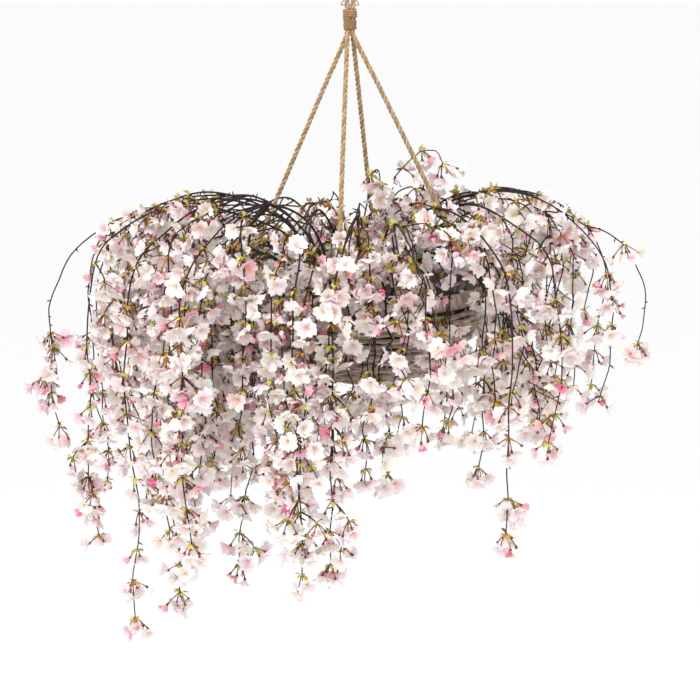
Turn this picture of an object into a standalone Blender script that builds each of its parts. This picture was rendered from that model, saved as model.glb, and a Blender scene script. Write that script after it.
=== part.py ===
"""Flower hanging basket: weeping cherry-blossom sprays in a willow bowl on four jute ropes.

Metres, +Z up. The origin is the inside of the steel link's apex, where a ceiling hook bears,
so everything hangs below z = 0. -Y is the front. Each spray is one branch with its blossoms
as plain swollen strands, standing in its own hole in a block of dry foam.
"""
import math

import bmesh
import bpy
from mathutils import Vector

# Clearances and facets
GAP = 0.0003
TUBE_SIDES = 6
RING_STEPS = 36

# Hanging link: a triangle of wire whose straight side carries both rope eyes
LINK_WIRE = 0.0024
LINK_HEIGHT = 0.0235
LINK_HALF_WIDTH = 0.0148
LINK_CORNER = 0.0030

# Jute ropes: two ropes, each doubled over the link, give four legs
ROPE_D = 0.0075
ROPE_PITCH = ROPE_D + 0.0003
EYE_HALF_SPACING = 0.0048
WHIPPING_TOP = -0.0260
WHIPPING_LENGTH = 0.0340
WHIPPING_RADIUS = 0.0118
WHIPPING_BORE = 0.0098
ROPE_JOIN = WHIPPING_TOP - 0.0060
ROPE_TURN = -10.0
LOOP_SLACK = 0.0018
ROPE_NAMES = ("right", "back", "left", "front")

# Willow bowl
AXIS_X = 0.013
RIM_RADIUS = 0.201
RIM_TOP = -0.456
BORDER_HEIGHT = 0.024
BORDER_WIDTH = 0.012
WALL_THICKNESS = 0.007
BOWL_BOTTOM = -0.605
BASE_RADIUS = 0.092
BASE_THICKNESS = 0.009
BOWL_FULLNESS = 2.1

# Lashing over the doubled rope end above each rim loop
LASHING_LENGTH = 0.048
LASHING_COVER = 0.0022
LASHING_FOOT = (0.1895, -0.4435)

# Dry foam that the stems stand in
FOAM_TOP = -0.478
FOAM_RADIUS = 0.176
FOAM_INSET = 0.0006
HOLE_CLEARANCE = 0.0008

# Sprays
STEM_RADIUS = 0.0032
TWIG_RADIUS = 0.0020
BLOOM_RADIUS = 0.020
BLOOM_TIP = 0.010
STEM_SAMPLES = 6
LONG_COUNT = 20
SHORT_COUNT = 12
CROWN_COUNT = 4
STRAND_FIRST = 0.305
STRAND_STEP = 0.062
STRAND_SIDE = 0.023
GOLDEN = 0.618034

# Long sprays, turning left from the right-hand rope: reach, height of the arch, height of the tip,
# sideways bend of the tip
LONG_SPRAYS = (
    (0.455, -0.330, -0.590, 0.000),
    (0.425, -0.315, -0.670, 0.008),
    (0.415, -0.325, -0.740, -0.012),
    (0.380, -0.335, -0.800, 0.010),
    (0.345, -0.345, -0.620, -0.002),
    (0.340, -0.348, -0.640, -0.006),
    (0.360, -0.345, -0.800, 0.012),
    (0.390, -0.338, -0.860, -0.011),
    (0.430, -0.330, -0.890, 0.004),
    (0.455, -0.322, -0.850, 0.005),
    (0.490, -0.335, -0.730, -0.011),
    (0.440, -0.315, -0.860, 0.011),
    (0.420, -0.310, -0.970, -0.006),
    (0.435, -0.315, -0.830, -0.003),
    (0.375, -0.320, -0.875, 0.028),
    (0.345, -0.330, -0.865, -0.035),
    (0.335, -0.345, -0.655, 0.008),
    (0.395, -0.320, -0.820, 0.000),
    (0.385, -0.315, -0.700, -0.008),
    (0.410, -0.305, -0.650, 0.012),
)

# Short sprays, which drape over the border: height of the tip
SHORT_TIPS = (-0.64, -0.60, -0.58, -0.62, -0.70, -0.76, -0.80, -0.90, -0.80, -0.74, -0.57, -0.66)

# Crown sprays, which stand up between the ropes: reach, height of the arch
CROWN_SPRAYS = ((0.150, -0.252), (0.110, -0.320), (0.095, -0.325), (0.075, -0.272))


def clear_scene():
    for obj in list(bpy.data.objects):
        bpy.data.objects.remove(obj, do_unlink=True)


def material(name, colour, roughness, metallic=0.0):
    mat = bpy.data.materials.new(name)
    mat.use_nodes = True
    shader = mat.node_tree.nodes["Principled BSDF"]
    shader.inputs["Base Color"].default_value = (*colour, 1.0)
    shader.inputs["Roughness"].default_value = roughness
    shader.inputs["Metallic"].default_value = metallic
    mat.diffuse_color = (*colour, 1.0)
    return mat


def add_object(name, bm, mat):
    """Make a named object of a bmesh, faces out, smooth with sharp edges kept."""
    bmesh.ops.recalc_face_normals(bm, faces=bm.faces)
    mesh = bpy.data.meshes.new(name)
    bm.to_mesh(mesh)
    bm.free()
    mesh.materials.append(mat)
    mesh.shade_smooth()
    mesh.set_sharp_from_angle(angle=math.radians(40))
    obj = bpy.data.objects.new(name, mesh)
    bpy.context.scene.collection.objects.link(obj)
    return obj


def add_cutter(name, bm, mat):
    """Make an object that only shapes another one."""
    obj = add_object(name, bm, mat)
    obj.hide_render = True
    obj.display_type = "WIRE"
    return obj


def combine(obj, other, operation):
    modifier = obj.modifiers.new(operation.lower(), "BOOLEAN")
    modifier.operation = operation
    modifier.solver = "EXACT"
    modifier.use_self = operation == "UNION"
    modifier.object = other


def smooth_path(points, samples):
    """Points of a Catmull-Rom curve through the given ones, with so many samples a span."""
    ends = [points[0] * 2 - points[1]] + list(points) + [points[-1] * 2 - points[-2]]
    path = []
    for a, b, c, d in zip(ends, ends[1:], ends[2:], ends[3:]):
        for step in range(samples):
            t = step / samples
            path.append(0.5 * (2 * b + (c - a) * t + (2 * a - 5 * b + 4 * c - d) * t ** 2
                               + (3 * b - a - 3 * c + d) * t ** 3))
    path.append(points[-1].copy())
    return path


def add_tube(bm, points, radii, sides=TUBE_SIDES):
    """Add a closed tube along a path: rings square to the path, joined by quads, capped flat."""
    tangents = [(b - a).normalized() for a, b in zip([points[0]] + points[:-1], points[1:] + [points[-1]])]
    side = tangents[0].orthogonal().normalized()
    previous = None
    for point, tangent, radius in zip(points, tangents, radii):
        side = (side - tangent * side.dot(tangent)).normalized()
        across = tangent.cross(side)
        angles = [math.tau * k / sides for k in range(sides)]
        ring = [bm.verts.new(point + radius * (side * math.cos(a) + across * math.sin(a))) for a in angles]
        if previous is None:
            bm.faces.new(list(reversed(ring)))
        else:
            for k in range(sides):
                n = (k + 1) % sides
                bm.faces.new((previous[k], previous[n], ring[n], ring[k]))
        previous = ring
    bm.faces.new(previous)


def turned(profile, steps=RING_STEPS, centre_x=AXIS_X):
    """Spin a closed outline of (radius, height) points about the vertical axis at centre_x."""
    bm = bmesh.new()
    verts = [bm.verts.new((centre_x + radius, 0.0, height)) for radius, height in profile]
    edges = [bm.edges.new((a, b)) for a, b in zip(verts, verts[1:] + verts[:1])
             if max(a.co.x, b.co.x) > centre_x + 1e-6]
    bmesh.ops.spin(bm, geom=verts + edges, cent=(centre_x, 0, 0), axis=(0, 0, 1),
                   angle=math.tau, steps=steps, use_merge=True)
    bmesh.ops.remove_doubles(bm, verts=bm.verts, dist=1e-5)
    return bm


def radial_point(azimuth, radius, side, height):
    """A point named by its distance from the bowl's axis, its sideways offset and its height."""
    c = math.cos(math.radians(azimuth))
    s = math.sin(math.radians(azimuth))
    return Vector((AXIS_X + radius * c - side * s, radius * s + side * c, height))


# Hanging link and top whipping
def make_link(steel):
    """Wire bent to a triangle: apex up, with the inside of the apex at the origin."""
    r = LINK_WIRE / 2
    low = r - LINK_HEIGHT
    corners = [Vector((0, 0, r)), Vector((LINK_HALF_WIDTH, 0, low)), Vector((-LINK_HALF_WIDTH, 0, low))]
    path = []
    for before, corner, after in zip(corners[-1:] + corners, corners, corners[1:] + corners[:1]):
        inward = (before - corner).normalized() * LINK_CORNER
        outward = (after - corner).normalized() * LINK_CORNER
        for t in (0.0, 0.33, 0.67, 1.0):
            path.append(corner + inward * (1 - t) ** 2 + outward * t ** 2)
    top = max(point.z for point in path)
    path = [point + Vector((0, 0, r - top)) for point in path]
    bm = bmesh.new()
    add_ring_tube(bm, path, r, 8)
    add_object("hanging_link", bm, steel)
    return min(point.z for point in path)


def add_ring_tube(bm, path, radius, sides):
    """Add a tube round a closed path that lies in the XZ plane."""
    rings = []
    count = len(path)
    for k, point in enumerate(path):
        tangent = (path[(k + 1) % count] - path[k - 1]).normalized()
        outward = tangent.cross(Vector((0, 1, 0)))
        angles = [math.tau * j / sides for j in range(sides)]
        rings.append([bm.verts.new(point + radius * (outward * math.cos(a) + Vector((0, math.sin(a), 0))))
                      for a in angles])
    for a, b in zip(rings, rings[1:] + rings[:1]):
        for j in range(sides):
            n = (j + 1) % sides
            bm.faces.new((a[j], a[n], b[n], b[j]))


def make_eyes(jute, wire_height):
    """Two bights of rope over the link's straight side, ending inside the whipping."""
    bend = LINK_WIRE / 2 + ROPE_D / 2 + 0.0007
    half = ROPE_PITCH / 2
    for name, x in (("rope_eye_left", -EYE_HALF_SPACING), ("rope_eye_right", EYE_HALF_SPACING)):
        inner = math.copysign(half, x)
        path = [Vector((inner, half, ROPE_JOIN)), Vector((inner, half, WHIPPING_TOP - 0.001))]
        path += [Vector((x, bend * math.cos(a), wire_height + bend * math.sin(a)))
                 for a in (0.0, 0.55, 1.1, math.pi / 2, math.pi - 1.1, math.pi - 0.55, math.pi)]
        path += [Vector((inner, -half, WHIPPING_TOP - 0.001)), Vector((inner, -half, ROPE_JOIN))]
        bm = bmesh.new()
        add_tube(bm, path, [ROPE_D / 2] * len(path))
        add_object(name, bm, jute)


def make_whipping(twine):
    bottom = WHIPPING_TOP - WHIPPING_LENGTH
    bm = turned([(WHIPPING_BORE, WHIPPING_TOP), (WHIPPING_RADIUS - 0.0015, WHIPPING_TOP),
                 (WHIPPING_RADIUS, WHIPPING_TOP - 0.0015), (WHIPPING_RADIUS, bottom + 0.0015),
                 (WHIPPING_RADIUS - 0.0015, bottom), (WHIPPING_BORE, bottom)], 20, 0.0)
    add_object("top_whipping", bm, twine)


# Rope legs and lashings
def rope_azimuth(index):
    return ROPE_TURN + 90.0 * index


def lashing_line(azimuth):
    """Foot, upward direction and outward normal of the doubled rope above the rim."""
    foot = radial_point(azimuth, LASHING_FOOT[0], 0.0, LASHING_FOOT[1])
    knot = Vector((0, 0, WHIPPING_TOP - WHIPPING_LENGTH - 0.010))
    up = (knot - foot).normalized()
    side = Vector((-math.sin(math.radians(azimuth)), math.cos(math.radians(azimuth)), 0))
    return foot, up, side.cross(up).normalized()


def make_rope(index, jute):
    """One leg: from the whipping to the rim, round the border and back up beside itself."""
    azimuth = rope_azimuth(index)
    foot, up, out = lashing_line(azimuth)
    quarter = math.radians(azimuth + 45.0 - ROPE_TURN - 90.0)
    core = Vector((math.cos(quarter), math.sin(quarter), 0)) * ROPE_PITCH * math.sqrt(0.5)
    bottom = WHIPPING_TOP - WHIPPING_LENGTH
    half = ROPE_PITCH / 2
    inner = RIM_RADIUS - BORDER_WIDTH - ROPE_D / 2 - LOOP_SLACK
    outer = RIM_RADIUS + ROPE_D / 2 + LOOP_SLACK
    under = RIM_TOP - BORDER_HEIGHT - ROPE_D / 2 - LOOP_SLACK
    head = [core + Vector((0, 0, ROPE_JOIN - GAP)), core + Vector((0, 0, bottom - 0.003))]
    loop = [foot - out * half, radial_point(azimuth, inner, 0, RIM_TOP - 0.004),
            radial_point(azimuth, inner + 0.0015, 0, RIM_TOP - BORDER_HEIGHT + 0.001),
            radial_point(azimuth, (inner + outer) / 2, 0, under),
            radial_point(azimuth, outer - 0.0015, 0, RIM_TOP - BORDER_HEIGHT + 0.001),
            radial_point(azimuth, outer, 0, RIM_TOP - 0.006), foot + out * half]
    top = foot + up * (LASHING_LENGTH + 0.004)
    path = head + [top - out * half] + smooth_path(loop, 2) + [top + out * half]
    bm = bmesh.new()
    add_tube(bm, path, [ROPE_D / 2] * len(path))
    add_object(f"rope_{ROPE_NAMES[index]}", bm, jute)


def make_lashing(index, twine):
    """Sleeve of wound twine round the two parts of the rope, with a long round-ended section."""
    foot, up, out = lashing_line(rope_azimuth(index))
    across = up.cross(out)
    bm = bmesh.new()
    rings = []
    levels = ((GAP, 0.0), (GAP + LASHING_COVER, 0.0), (GAP + LASHING_COVER, LASHING_LENGTH),
              (GAP, LASHING_LENGTH))
    for grow, height in levels:
        ring = []
        for k in range(12):
            angle = math.tau * (k + 0.5) / 12
            shift = math.copysign(ROPE_PITCH / 2, math.cos(angle))
            reach = (ROPE_D / 2 + grow) / math.cos(math.pi / 12)
            place = out * (shift + reach * math.cos(angle)) + across * reach * math.sin(angle)
            ring.append(bm.verts.new(foot + up * height + place))
        rings.append(ring)
    for a, b in zip(rings, rings[1:] + rings[:1]):
        for k in range(12):
            n = (k + 1) % 12
            bm.faces.new((a[k], a[n], b[n], b[k]))
    add_object(f"lashing_{ROPE_NAMES[index]}", bm, twine)


# Willow bowl
def bowl_radius(height):
    """Outside radius of the bowl: a rounded curve from the base up to the border."""
    top = RIM_TOP - BORDER_HEIGHT
    t = (top - height) / (top - BOWL_BOTTOM)
    spread = RIM_RADIUS - 0.003 - BASE_RADIUS
    return BASE_RADIUS + spread * max(0.0, 1 - t ** BOWL_FULLNESS) ** (1 / 1.35)


def wall_heights():
    top = RIM_TOP - BORDER_HEIGHT - GAP
    return [top, top - 0.030, top - 0.062, top - 0.090, BOWL_BOTTOM + BASE_THICKNESS + 0.002]


def make_bowl(willow):
    low = RIM_TOP - BORDER_HEIGHT
    edge = 0.004
    border = [(RIM_RADIUS - edge, RIM_TOP), (RIM_RADIUS, RIM_TOP - edge), (RIM_RADIUS, low + edge),
              (RIM_RADIUS - edge, low), (RIM_RADIUS - BORDER_WIDTH + edge, low),
              (RIM_RADIUS - BORDER_WIDTH, low + edge), (RIM_RADIUS - BORDER_WIDTH, RIM_TOP - edge),
              (RIM_RADIUS - BORDER_WIDTH + edge, RIM_TOP)]
    add_object("basket_border", turned(border), willow)

    floor = BOWL_BOTTOM + BASE_THICKNESS
    outside = [(bowl_radius(h), h) for h in wall_heights()]
    inside = [(bowl_radius(h) - WALL_THICKNESS, h) for h in reversed(wall_heights())]
    wall = add_object("basket_wall", turned(outside + inside), willow)
    slots = bmesh.new()
    for index in range(4):
        azimuth = rope_azimuth(index)
        slot = [radial_point(azimuth, RIM_RADIUS + shift, 0, low - 0.004) for shift in (-0.030, 0.020)]
        add_tube(slots, slot, [0.0085] * 2)
    combine(wall, add_cutter("wall_slots", slots, willow), "DIFFERENCE")

    rim = bowl_radius(floor + 0.002)
    base = [(0.0, BOWL_BOTTOM + 0.002), (BASE_RADIUS - 0.012, BOWL_BOTTOM), (BASE_RADIUS, BOWL_BOTTOM + 0.002),
            (rim - 0.001, floor + 0.002 - GAP), (rim - WALL_THICKNESS, floor + 0.002 - GAP), (0.0, floor)]
    add_object("basket_base", turned(base), willow)


def make_foam(foam, stems):
    """Foam plug that fills the bowl, with a hole for every stem."""
    heights = [h for h in reversed(wall_heights()) if h < FOAM_TOP - 0.008]
    floor = heights[0] + GAP
    profile = [(0.0, floor), (bowl_radius(heights[0]) - WALL_THICKNESS - FOAM_INSET, floor)]
    profile += [(min(bowl_radius(h) - WALL_THICKNESS - FOAM_INSET, FOAM_RADIUS), h) for h in heights[1:]]
    profile += [(FOAM_RADIUS, FOAM_TOP - 0.006), (FOAM_RADIUS - 0.008, FOAM_TOP), (0.0, FOAM_TOP)]
    block = add_object("florist_foam", turned(profile), foam)
    holes = bmesh.new()
    for path in stems:
        mouth = next(point for point in path if point.z > FOAM_TOP)
        start = path[0] - (path[1] - path[0]).normalized() * 0.001
        add_tube(holes, [start, mouth], [STEM_RADIUS + HOLE_CLEARANCE] * 2)
    combine(block, add_cutter("stem_holes", holes, foam), "DIFFERENCE")


# Sprays
def strand_length_factor(spray, strand):
    """A share from 0.62 to 1 that varies evenly from strand to strand."""
    return 0.62 + 0.38 * ((spray * GOLDEN + strand * 0.37) % 1.0)


def long_spray(index):
    """Azimuth, stem points and strand points of a spray that arches over and hangs well outside."""
    azimuth = ROPE_TURN + 360.0 / LONG_COUNT * (index + 0.5)
    reach, arch, tip, sway = LONG_SPRAYS[index]
    root = 0.036 + 0.020 * (index % 2)
    shoulder = arch - 0.125
    stem = [(root, 0, FOAM_TOP - 0.030), (root + 0.004, 0, FOAM_TOP + 0.016), (0.120, 0, arch - 0.040),
            (0.55 * reach, 0, arch), (0.84 * reach, 0.5 * sway, arch - 0.040), (reach - 0.004, sway, shoulder),
            (reach, sway, (shoulder + tip) / 2), (reach - 0.008, sway, tip)]
    strands = []
    count = int((reach - 0.045 - STRAND_FIRST) / STRAND_STEP) + 1 if reach > 0.345 else 1
    for k in range(count):
        start = STRAND_FIRST - 0.018 + STRAND_STEP * k
        side = STRAND_SIDE * (1 if (index + k) % 2 else -1)
        strands.append((start, side, arch + (tip - arch) * strand_length_factor(index, k)))
    return azimuth, stem, strands


def short_spray(index):
    """Azimuth, stem points and strand points of a spray that drapes over the border."""
    azimuth = ROPE_TURN + 360.0 / SHORT_COUNT * (index + 0.5)
    tip = SHORT_TIPS[index]
    side = 0.022 * (1 if index % 2 else -1)
    stem = [(0.084, 0, FOAM_TOP - 0.030), (0.090, 0, FOAM_TOP + 0.016), (0.135, 0, RIM_TOP + 0.040),
            (0.185, 0.3 * side, RIM_TOP + 0.052), (0.224, 0.8 * side, RIM_TOP + 0.020),
            (0.236, side, RIM_TOP - 0.045), (0.240, side, (RIM_TOP - 0.045 + tip) / 2), (0.236, side, tip)]
    length = strand_length_factor(index, 2)
    return azimuth, stem, [(0.205, -side, RIM_TOP + (tip - RIM_TOP) * length)]


def crown_spray(index):
    """Azimuth and stem points of a spray that stands up between the ropes."""
    azimuth = ROPE_TURN + 36.0 + 90.0 * index
    reach, arch = CROWN_SPRAYS[index]
    stem = [(0.014, 0, FOAM_TOP - 0.030), (0.016, 0, FOAM_TOP + 0.016), (0.30 * reach, 0, arch - 0.095),
            (0.58 * reach, 0, arch - 0.018), (0.86 * reach, 0, arch), (reach, 0, arch - 0.030)]
    return azimuth, stem, []


def stem_path(azimuth, stem):
    return smooth_path([radial_point(azimuth, *point) for point in stem], STEM_SAMPLES)


def reach_of(point):
    return math.hypot(point.x - AXIS_X, point.y)


def strand_path(azimuth, stem_points, strand):
    """A side strand: leaves the stem where the stem has reached its radius, then hangs down."""
    radius, side, tip = strand
    start = next(point for point in stem_points[2 * STEM_SAMPLES:] if reach_of(point) >= radius)
    base = reach_of(start)
    high = start.z
    return [start, radial_point(azimuth, base + 0.014, 0.8 * side, high - 0.022),
            radial_point(azimuth, base + 0.018, side, high - 0.055),
            radial_point(azimuth, base + 0.016, side, (high - 0.055 + tip) / 2),
            radial_point(azimuth, base + 0.012, side, tip)]


def spray_paths(azimuth, stem):
    """Stem points for the solid: straight in the foam, close together in the arch, then sparse."""
    path = stem_path(azimuth, stem)
    bend = 5 * STEM_SAMPLES
    return path[:1] + path[STEM_SAMPLES:bend:STEM_SAMPLES // 2] + path[bend::STEM_SAMPLES]


def bloom_radii(points, bare_until, tip_radius=BLOOM_TIP):
    """Bare stem up to the given distance from the axis, then swollen with blossom to the tip."""
    radii = [STEM_RADIUS if reach_of(point) < bare_until else BLOOM_RADIUS for point in points]
    radii[-1] = tip_radius
    return radii


def make_spray(name, azimuth, stem, strands, bare_until, blossom):
    full = stem_path(azimuth, stem)
    points = spray_paths(azimuth, stem)
    bm = bmesh.new()
    add_tube(bm, points, bloom_radii(points, bare_until))
    spray = add_object(name, bm, blossom)
    if strands:
        side = bmesh.new()
        for strand in strands:
            path = strand_path(azimuth, full, strand)
            add_tube(side, path, [TWIG_RADIUS, TWIG_RADIUS, BLOOM_RADIUS, BLOOM_RADIUS, BLOOM_TIP])
        combine(spray, add_cutter(f"{name}_strands", side, blossom), "UNION")
    return points


def make_sprays(blossom):
    stems = []
    for index in range(LONG_COUNT):
        azimuth, stem, strands = long_spray(index)
        stems.append(make_spray(f"long_spray_{index + 1:02d}", azimuth, stem, strands, 0.285, blossom))
    for index in range(SHORT_COUNT):
        azimuth, stem, strands = short_spray(index)
        stems.append(make_spray(f"short_spray_{index + 1:02d}", azimuth, stem, strands, 0.215, blossom))
    for index in range(CROWN_COUNT):
        azimuth, stem, strands = crown_spray(index)
        bare = 0.55 * CROWN_SPRAYS[index][0]
        stems.append(make_spray(f"crown_spray_{index + 1:02d}", azimuth, stem, strands, bare, blossom))
    return stems


def main():
    clear_scene()
    steel = material("steel_wire", (0.45, 0.46, 0.47), 0.35, 1.0)
    jute = material("jute_rope", (0.62, 0.43, 0.21), 0.85)
    twine = material("jute_twine", (0.50, 0.33, 0.15), 0.85)
    willow = material("grey_willow", (0.24, 0.19, 0.165), 0.75)
    foam = material("dry_foam", (0.05, 0.06, 0.03), 0.95)
    blossom = material("blossom_spray", (0.90, 0.72, 0.74), 0.60)

    wire_height = make_link(steel)
    make_eyes(jute, wire_height)
    make_whipping(twine)
    for index in range(4):
        make_rope(index, jute)
        make_lashing(index, twine)
    make_bowl(willow)
    make_foam(foam, make_sprays(blossom))


main()
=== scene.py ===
# %% [markdown]
# # A hanging basket of weeping cherry blossom
# The real object is a shallow willow bowl on four jute ropes, filled with long sprays of silk cherry
# blossom. Its looks come from thousands of small soft shapes and a few strong dark lines. This lesson
# builds it from the top down: camera and light, ropes, twine, willow, and then the sprays, whose
# petals, leaves and stalks are worked out as whole arrays of points.

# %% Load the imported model
import math

import bpy
import numpy as np
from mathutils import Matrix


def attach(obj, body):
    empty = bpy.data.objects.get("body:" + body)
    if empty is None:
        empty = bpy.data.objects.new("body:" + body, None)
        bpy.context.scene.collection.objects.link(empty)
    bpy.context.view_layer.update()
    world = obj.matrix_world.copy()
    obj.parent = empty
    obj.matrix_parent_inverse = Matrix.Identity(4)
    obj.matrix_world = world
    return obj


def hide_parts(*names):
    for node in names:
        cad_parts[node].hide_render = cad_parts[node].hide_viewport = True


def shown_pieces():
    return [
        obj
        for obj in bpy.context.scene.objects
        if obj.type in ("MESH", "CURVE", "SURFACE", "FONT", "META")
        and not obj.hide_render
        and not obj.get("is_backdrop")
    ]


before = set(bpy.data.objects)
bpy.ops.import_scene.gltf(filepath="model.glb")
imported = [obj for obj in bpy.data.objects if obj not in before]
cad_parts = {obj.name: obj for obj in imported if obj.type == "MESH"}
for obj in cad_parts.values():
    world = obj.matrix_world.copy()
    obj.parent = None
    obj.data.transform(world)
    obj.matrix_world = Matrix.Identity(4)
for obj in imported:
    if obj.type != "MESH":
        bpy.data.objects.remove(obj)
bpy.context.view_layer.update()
print("solids in the packed model:", len(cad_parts))

# %% [markdown]
# ## Sizes that the solids already have
# Every visible piece lies where its plain solid lies, so the sizes that shaped the solids are said
# again here. They could be measured from the solids, but a branch is drawn from the few points that
# its stem passes, and a mesh doesn't tell those.

# %% Sizes of the hanging gear and the bowl
AXIS_X = 0.013
ROPE_D = 0.0075
ROPE_PITCH = 0.0078
ROPE_TURN = -10.0
EYE_X = 0.0048
WHIPPING_TOP = -0.0260
WHIPPING_BOTTOM = -0.0600
WHIPPING_RADIUS = 0.0118
RIM_RADIUS = 0.201
RIM_TOP = -0.456
RIM_LOW = -0.480
BORDER_WIDTH = 0.012
BOWL_BOTTOM = -0.605
BASE_RADIUS = 0.092
BOWL_FULLNESS = 2.1
FOAM_TOP = -0.478
LASHING_LENGTH = 0.048
SIDES = ("right", "back", "left", "front")

# %% Sizes of the sprays
LONG_SPRAYS = (
    (0.455, -0.330, -0.590, 0.000), (0.425, -0.315, -0.670, 0.008), (0.415, -0.325, -0.740, -0.012),
    (0.380, -0.335, -0.800, 0.010), (0.345, -0.345, -0.620, -0.002), (0.340, -0.348, -0.640, -0.006),
    (0.360, -0.345, -0.800, 0.012), (0.390, -0.338, -0.860, -0.011), (0.430, -0.330, -0.890, 0.004),
    (0.455, -0.322, -0.850, 0.005), (0.490, -0.335, -0.730, -0.011), (0.440, -0.315, -0.860, 0.011),
    (0.420, -0.310, -0.970, -0.006), (0.435, -0.315, -0.830, -0.003), (0.375, -0.320, -0.875, 0.028),
    (0.345, -0.330, -0.865, -0.035), (0.335, -0.345, -0.655, 0.008), (0.395, -0.320, -0.820, 0.000),
    (0.385, -0.315, -0.700, -0.008), (0.410, -0.305, -0.650, 0.012),
)
SHORT_TIPS = (-0.64, -0.60, -0.58, -0.62, -0.70, -0.76, -0.80, -0.90, -0.80, -0.74, -0.57, -0.66)
CROWN_SPRAYS = ((0.150, -0.252), (0.110, -0.320), (0.095, -0.325), (0.075, -0.272))
GOLDEN = 0.618034

# %% [markdown]
# ## Camera, floor and light
# The photograph looks a little down on the basket from far away, so the lens is long. A room with a
# white floor far below and a white sky all round gives the soft even light of a studio. One large
# soft lamp at the upper left adds the gentle shadows that make petals read as petals.

# %% Camera at the photograph's angle
IMAGE_CENTRE = (0.0, 0.0, -0.565)
CAMERA_DISTANCE = 3.2
CAMERA_HEIGHT = math.radians(10.0)

camera = bpy.data.objects.new("camera", bpy.data.cameras.new("camera"))
camera.data.lens = 102.9
camera.data.sensor_width = 36.0
camera.location = (IMAGE_CENTRE[0], -CAMERA_DISTANCE * math.cos(CAMERA_HEIGHT),
                   IMAGE_CENTRE[2] + CAMERA_DISTANCE * math.sin(CAMERA_HEIGHT))
camera.rotation_euler = (math.pi / 2 - CAMERA_HEIGHT, 0.0, 0.0)
bpy.context.scene.collection.objects.link(camera)
bpy.context.scene.camera = camera
bpy.context.scene.view_settings.view_transform = "Standard"
print("camera at", [round(c, 3) for c in camera.location])

# %% Floor
FLOOR_HEIGHT = -2.5
FLOOR_REACH = 2600.0


def ring_faces(rings, corners):
    """Quads between closed rings of points that follow each other: ring j, corner k to ring j + 1, corner k + 1."""
    j, k = np.meshgrid(np.arange(rings - 1), np.arange(corners), indexing="ij")
    n = (k + 1) % corners
    return np.stack([j * corners + k, j * corners + n, (j + 1) * corners + n, (j + 1) * corners + k],
                    axis=-1).reshape(-1, 4)


def make_mesh(name, points, faces, smooth=True):
    """A mesh from an array of points and a list of face arrays, one array for each number of corners."""
    corners = np.concatenate([f.ravel() for f in faces]).astype(np.int32)
    sizes = np.concatenate([np.full(len(f), f.shape[1]) for f in faces])
    mesh = bpy.data.meshes.new(name)
    mesh.vertices.add(len(points))
    mesh.vertices.foreach_set("co", np.asarray(points, np.float32).ravel())
    mesh.loops.add(len(corners))
    mesh.loops.foreach_set("vertex_index", corners)
    mesh.polygons.add(len(sizes))
    mesh.polygons.foreach_set("loop_start", np.concatenate([[0], np.cumsum(sizes)[:-1]]).astype(np.int32))
    mesh.polygons.foreach_set("use_smooth", np.full(len(sizes), smooth))
    mesh.update(calc_edges=True)
    return mesh


def add_object(name, mesh, finish):
    obj = bpy.data.objects.new(name, mesh)
    mesh.materials.append(finish)
    bpy.context.scene.collection.objects.link(obj)
    return obj


floor_finish = bpy.data.materials.new("pale_floor")
floor_finish.use_nodes = True
floor_shader = floor_finish.node_tree.nodes["Principled BSDF"]
floor_shader.inputs["Base Color"].default_value = (0.965, 0.965, 0.965, 1.0)
floor_shader.inputs["Roughness"].default_value = 0.9
turn = np.linspace(0, 2 * np.pi, 64, endpoint=False)
radii = np.array([3.0, 30.0, 300.0, FLOOR_REACH])
floor_points = np.stack([radii[:, None] * np.cos(turn), radii[:, None] * np.sin(turn),
                         np.full((4, 64), FLOOR_HEIGHT)], axis=-1).reshape(-1, 3)
floor_mesh = make_mesh("floor", floor_points, [ring_faces(4, 64)[:, ::-1], np.arange(64)[None]], smooth=False)
floor = add_object("floor", floor_mesh, floor_finish)
floor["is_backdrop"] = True

# %% Light
world = bpy.data.worlds.new("white_room")
world.use_nodes = True
bpy.context.scene.world = world
sky = world.node_tree.nodes["Background"]
sky.inputs["Color"].default_value = (1.0, 1.0, 1.0, 1.0)
sky.inputs["Strength"].default_value = 1.0


def soft_lamp(name, place, size, watts):
    """A square lamp that faces the middle of the basket."""
    lamp = bpy.data.objects.new(name, bpy.data.lights.new(name, "AREA"))
    lamp.data.shape = "SQUARE"
    lamp.data.size = size
    lamp.data.energy = watts
    lamp.location = place
    away = np.array(place) - np.array(IMAGE_CENTRE)
    lamp.rotation_euler = (math.acos(away[2] / np.linalg.norm(away)), 0.0, math.atan2(away[1], away[0]) + math.pi / 2)
    bpy.context.scene.collection.objects.link(lamp)
    return lamp


soft_lamp("key_lamp", (-1.6, -2.2, 1.9), 1.0, 84.0)
soft_lamp("fill_lamp", (2.4, -1.8, 0.8), 1.4, 17.0)

# %% [markdown]
# ## Round bars along a path
# Ropes, twine, willow rods, twigs and flower stalks are all round bars that follow a line. A curve
# object with a bevel could draw each one, but there are thousands. So one function carries a circle
# along many paths at once, and gives every corner two numbers for the grain: how far round the bar it
# is, and how far along.

# %% Smooth lines through a few points
def curve_through(points, count):
    """Catmull-Rom curve: each span is a cubic that leaves a point in the direction of its neighbours.
    The curve is then divided into equal lengths."""
    p = np.asarray(points, float)
    p = np.vstack([2 * p[0] - p[1], p, 2 * p[-1] - p[-2]])
    t = np.linspace(0, len(p) - 3, 16 * (len(p) - 3) + 1)
    i = np.minimum(t.astype(int), len(p) - 4)
    t = (t - i)[:, None]
    a, b, c, d = p[i], p[i + 1], p[i + 2], p[i + 3]
    line = 0.5 * (2 * b + (c - a) * t + (2 * a - 5 * b + 4 * c - d) * t ** 2 + (3 * b - a - 3 * c + d) * t ** 3)
    return evenly(line, count)


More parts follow.
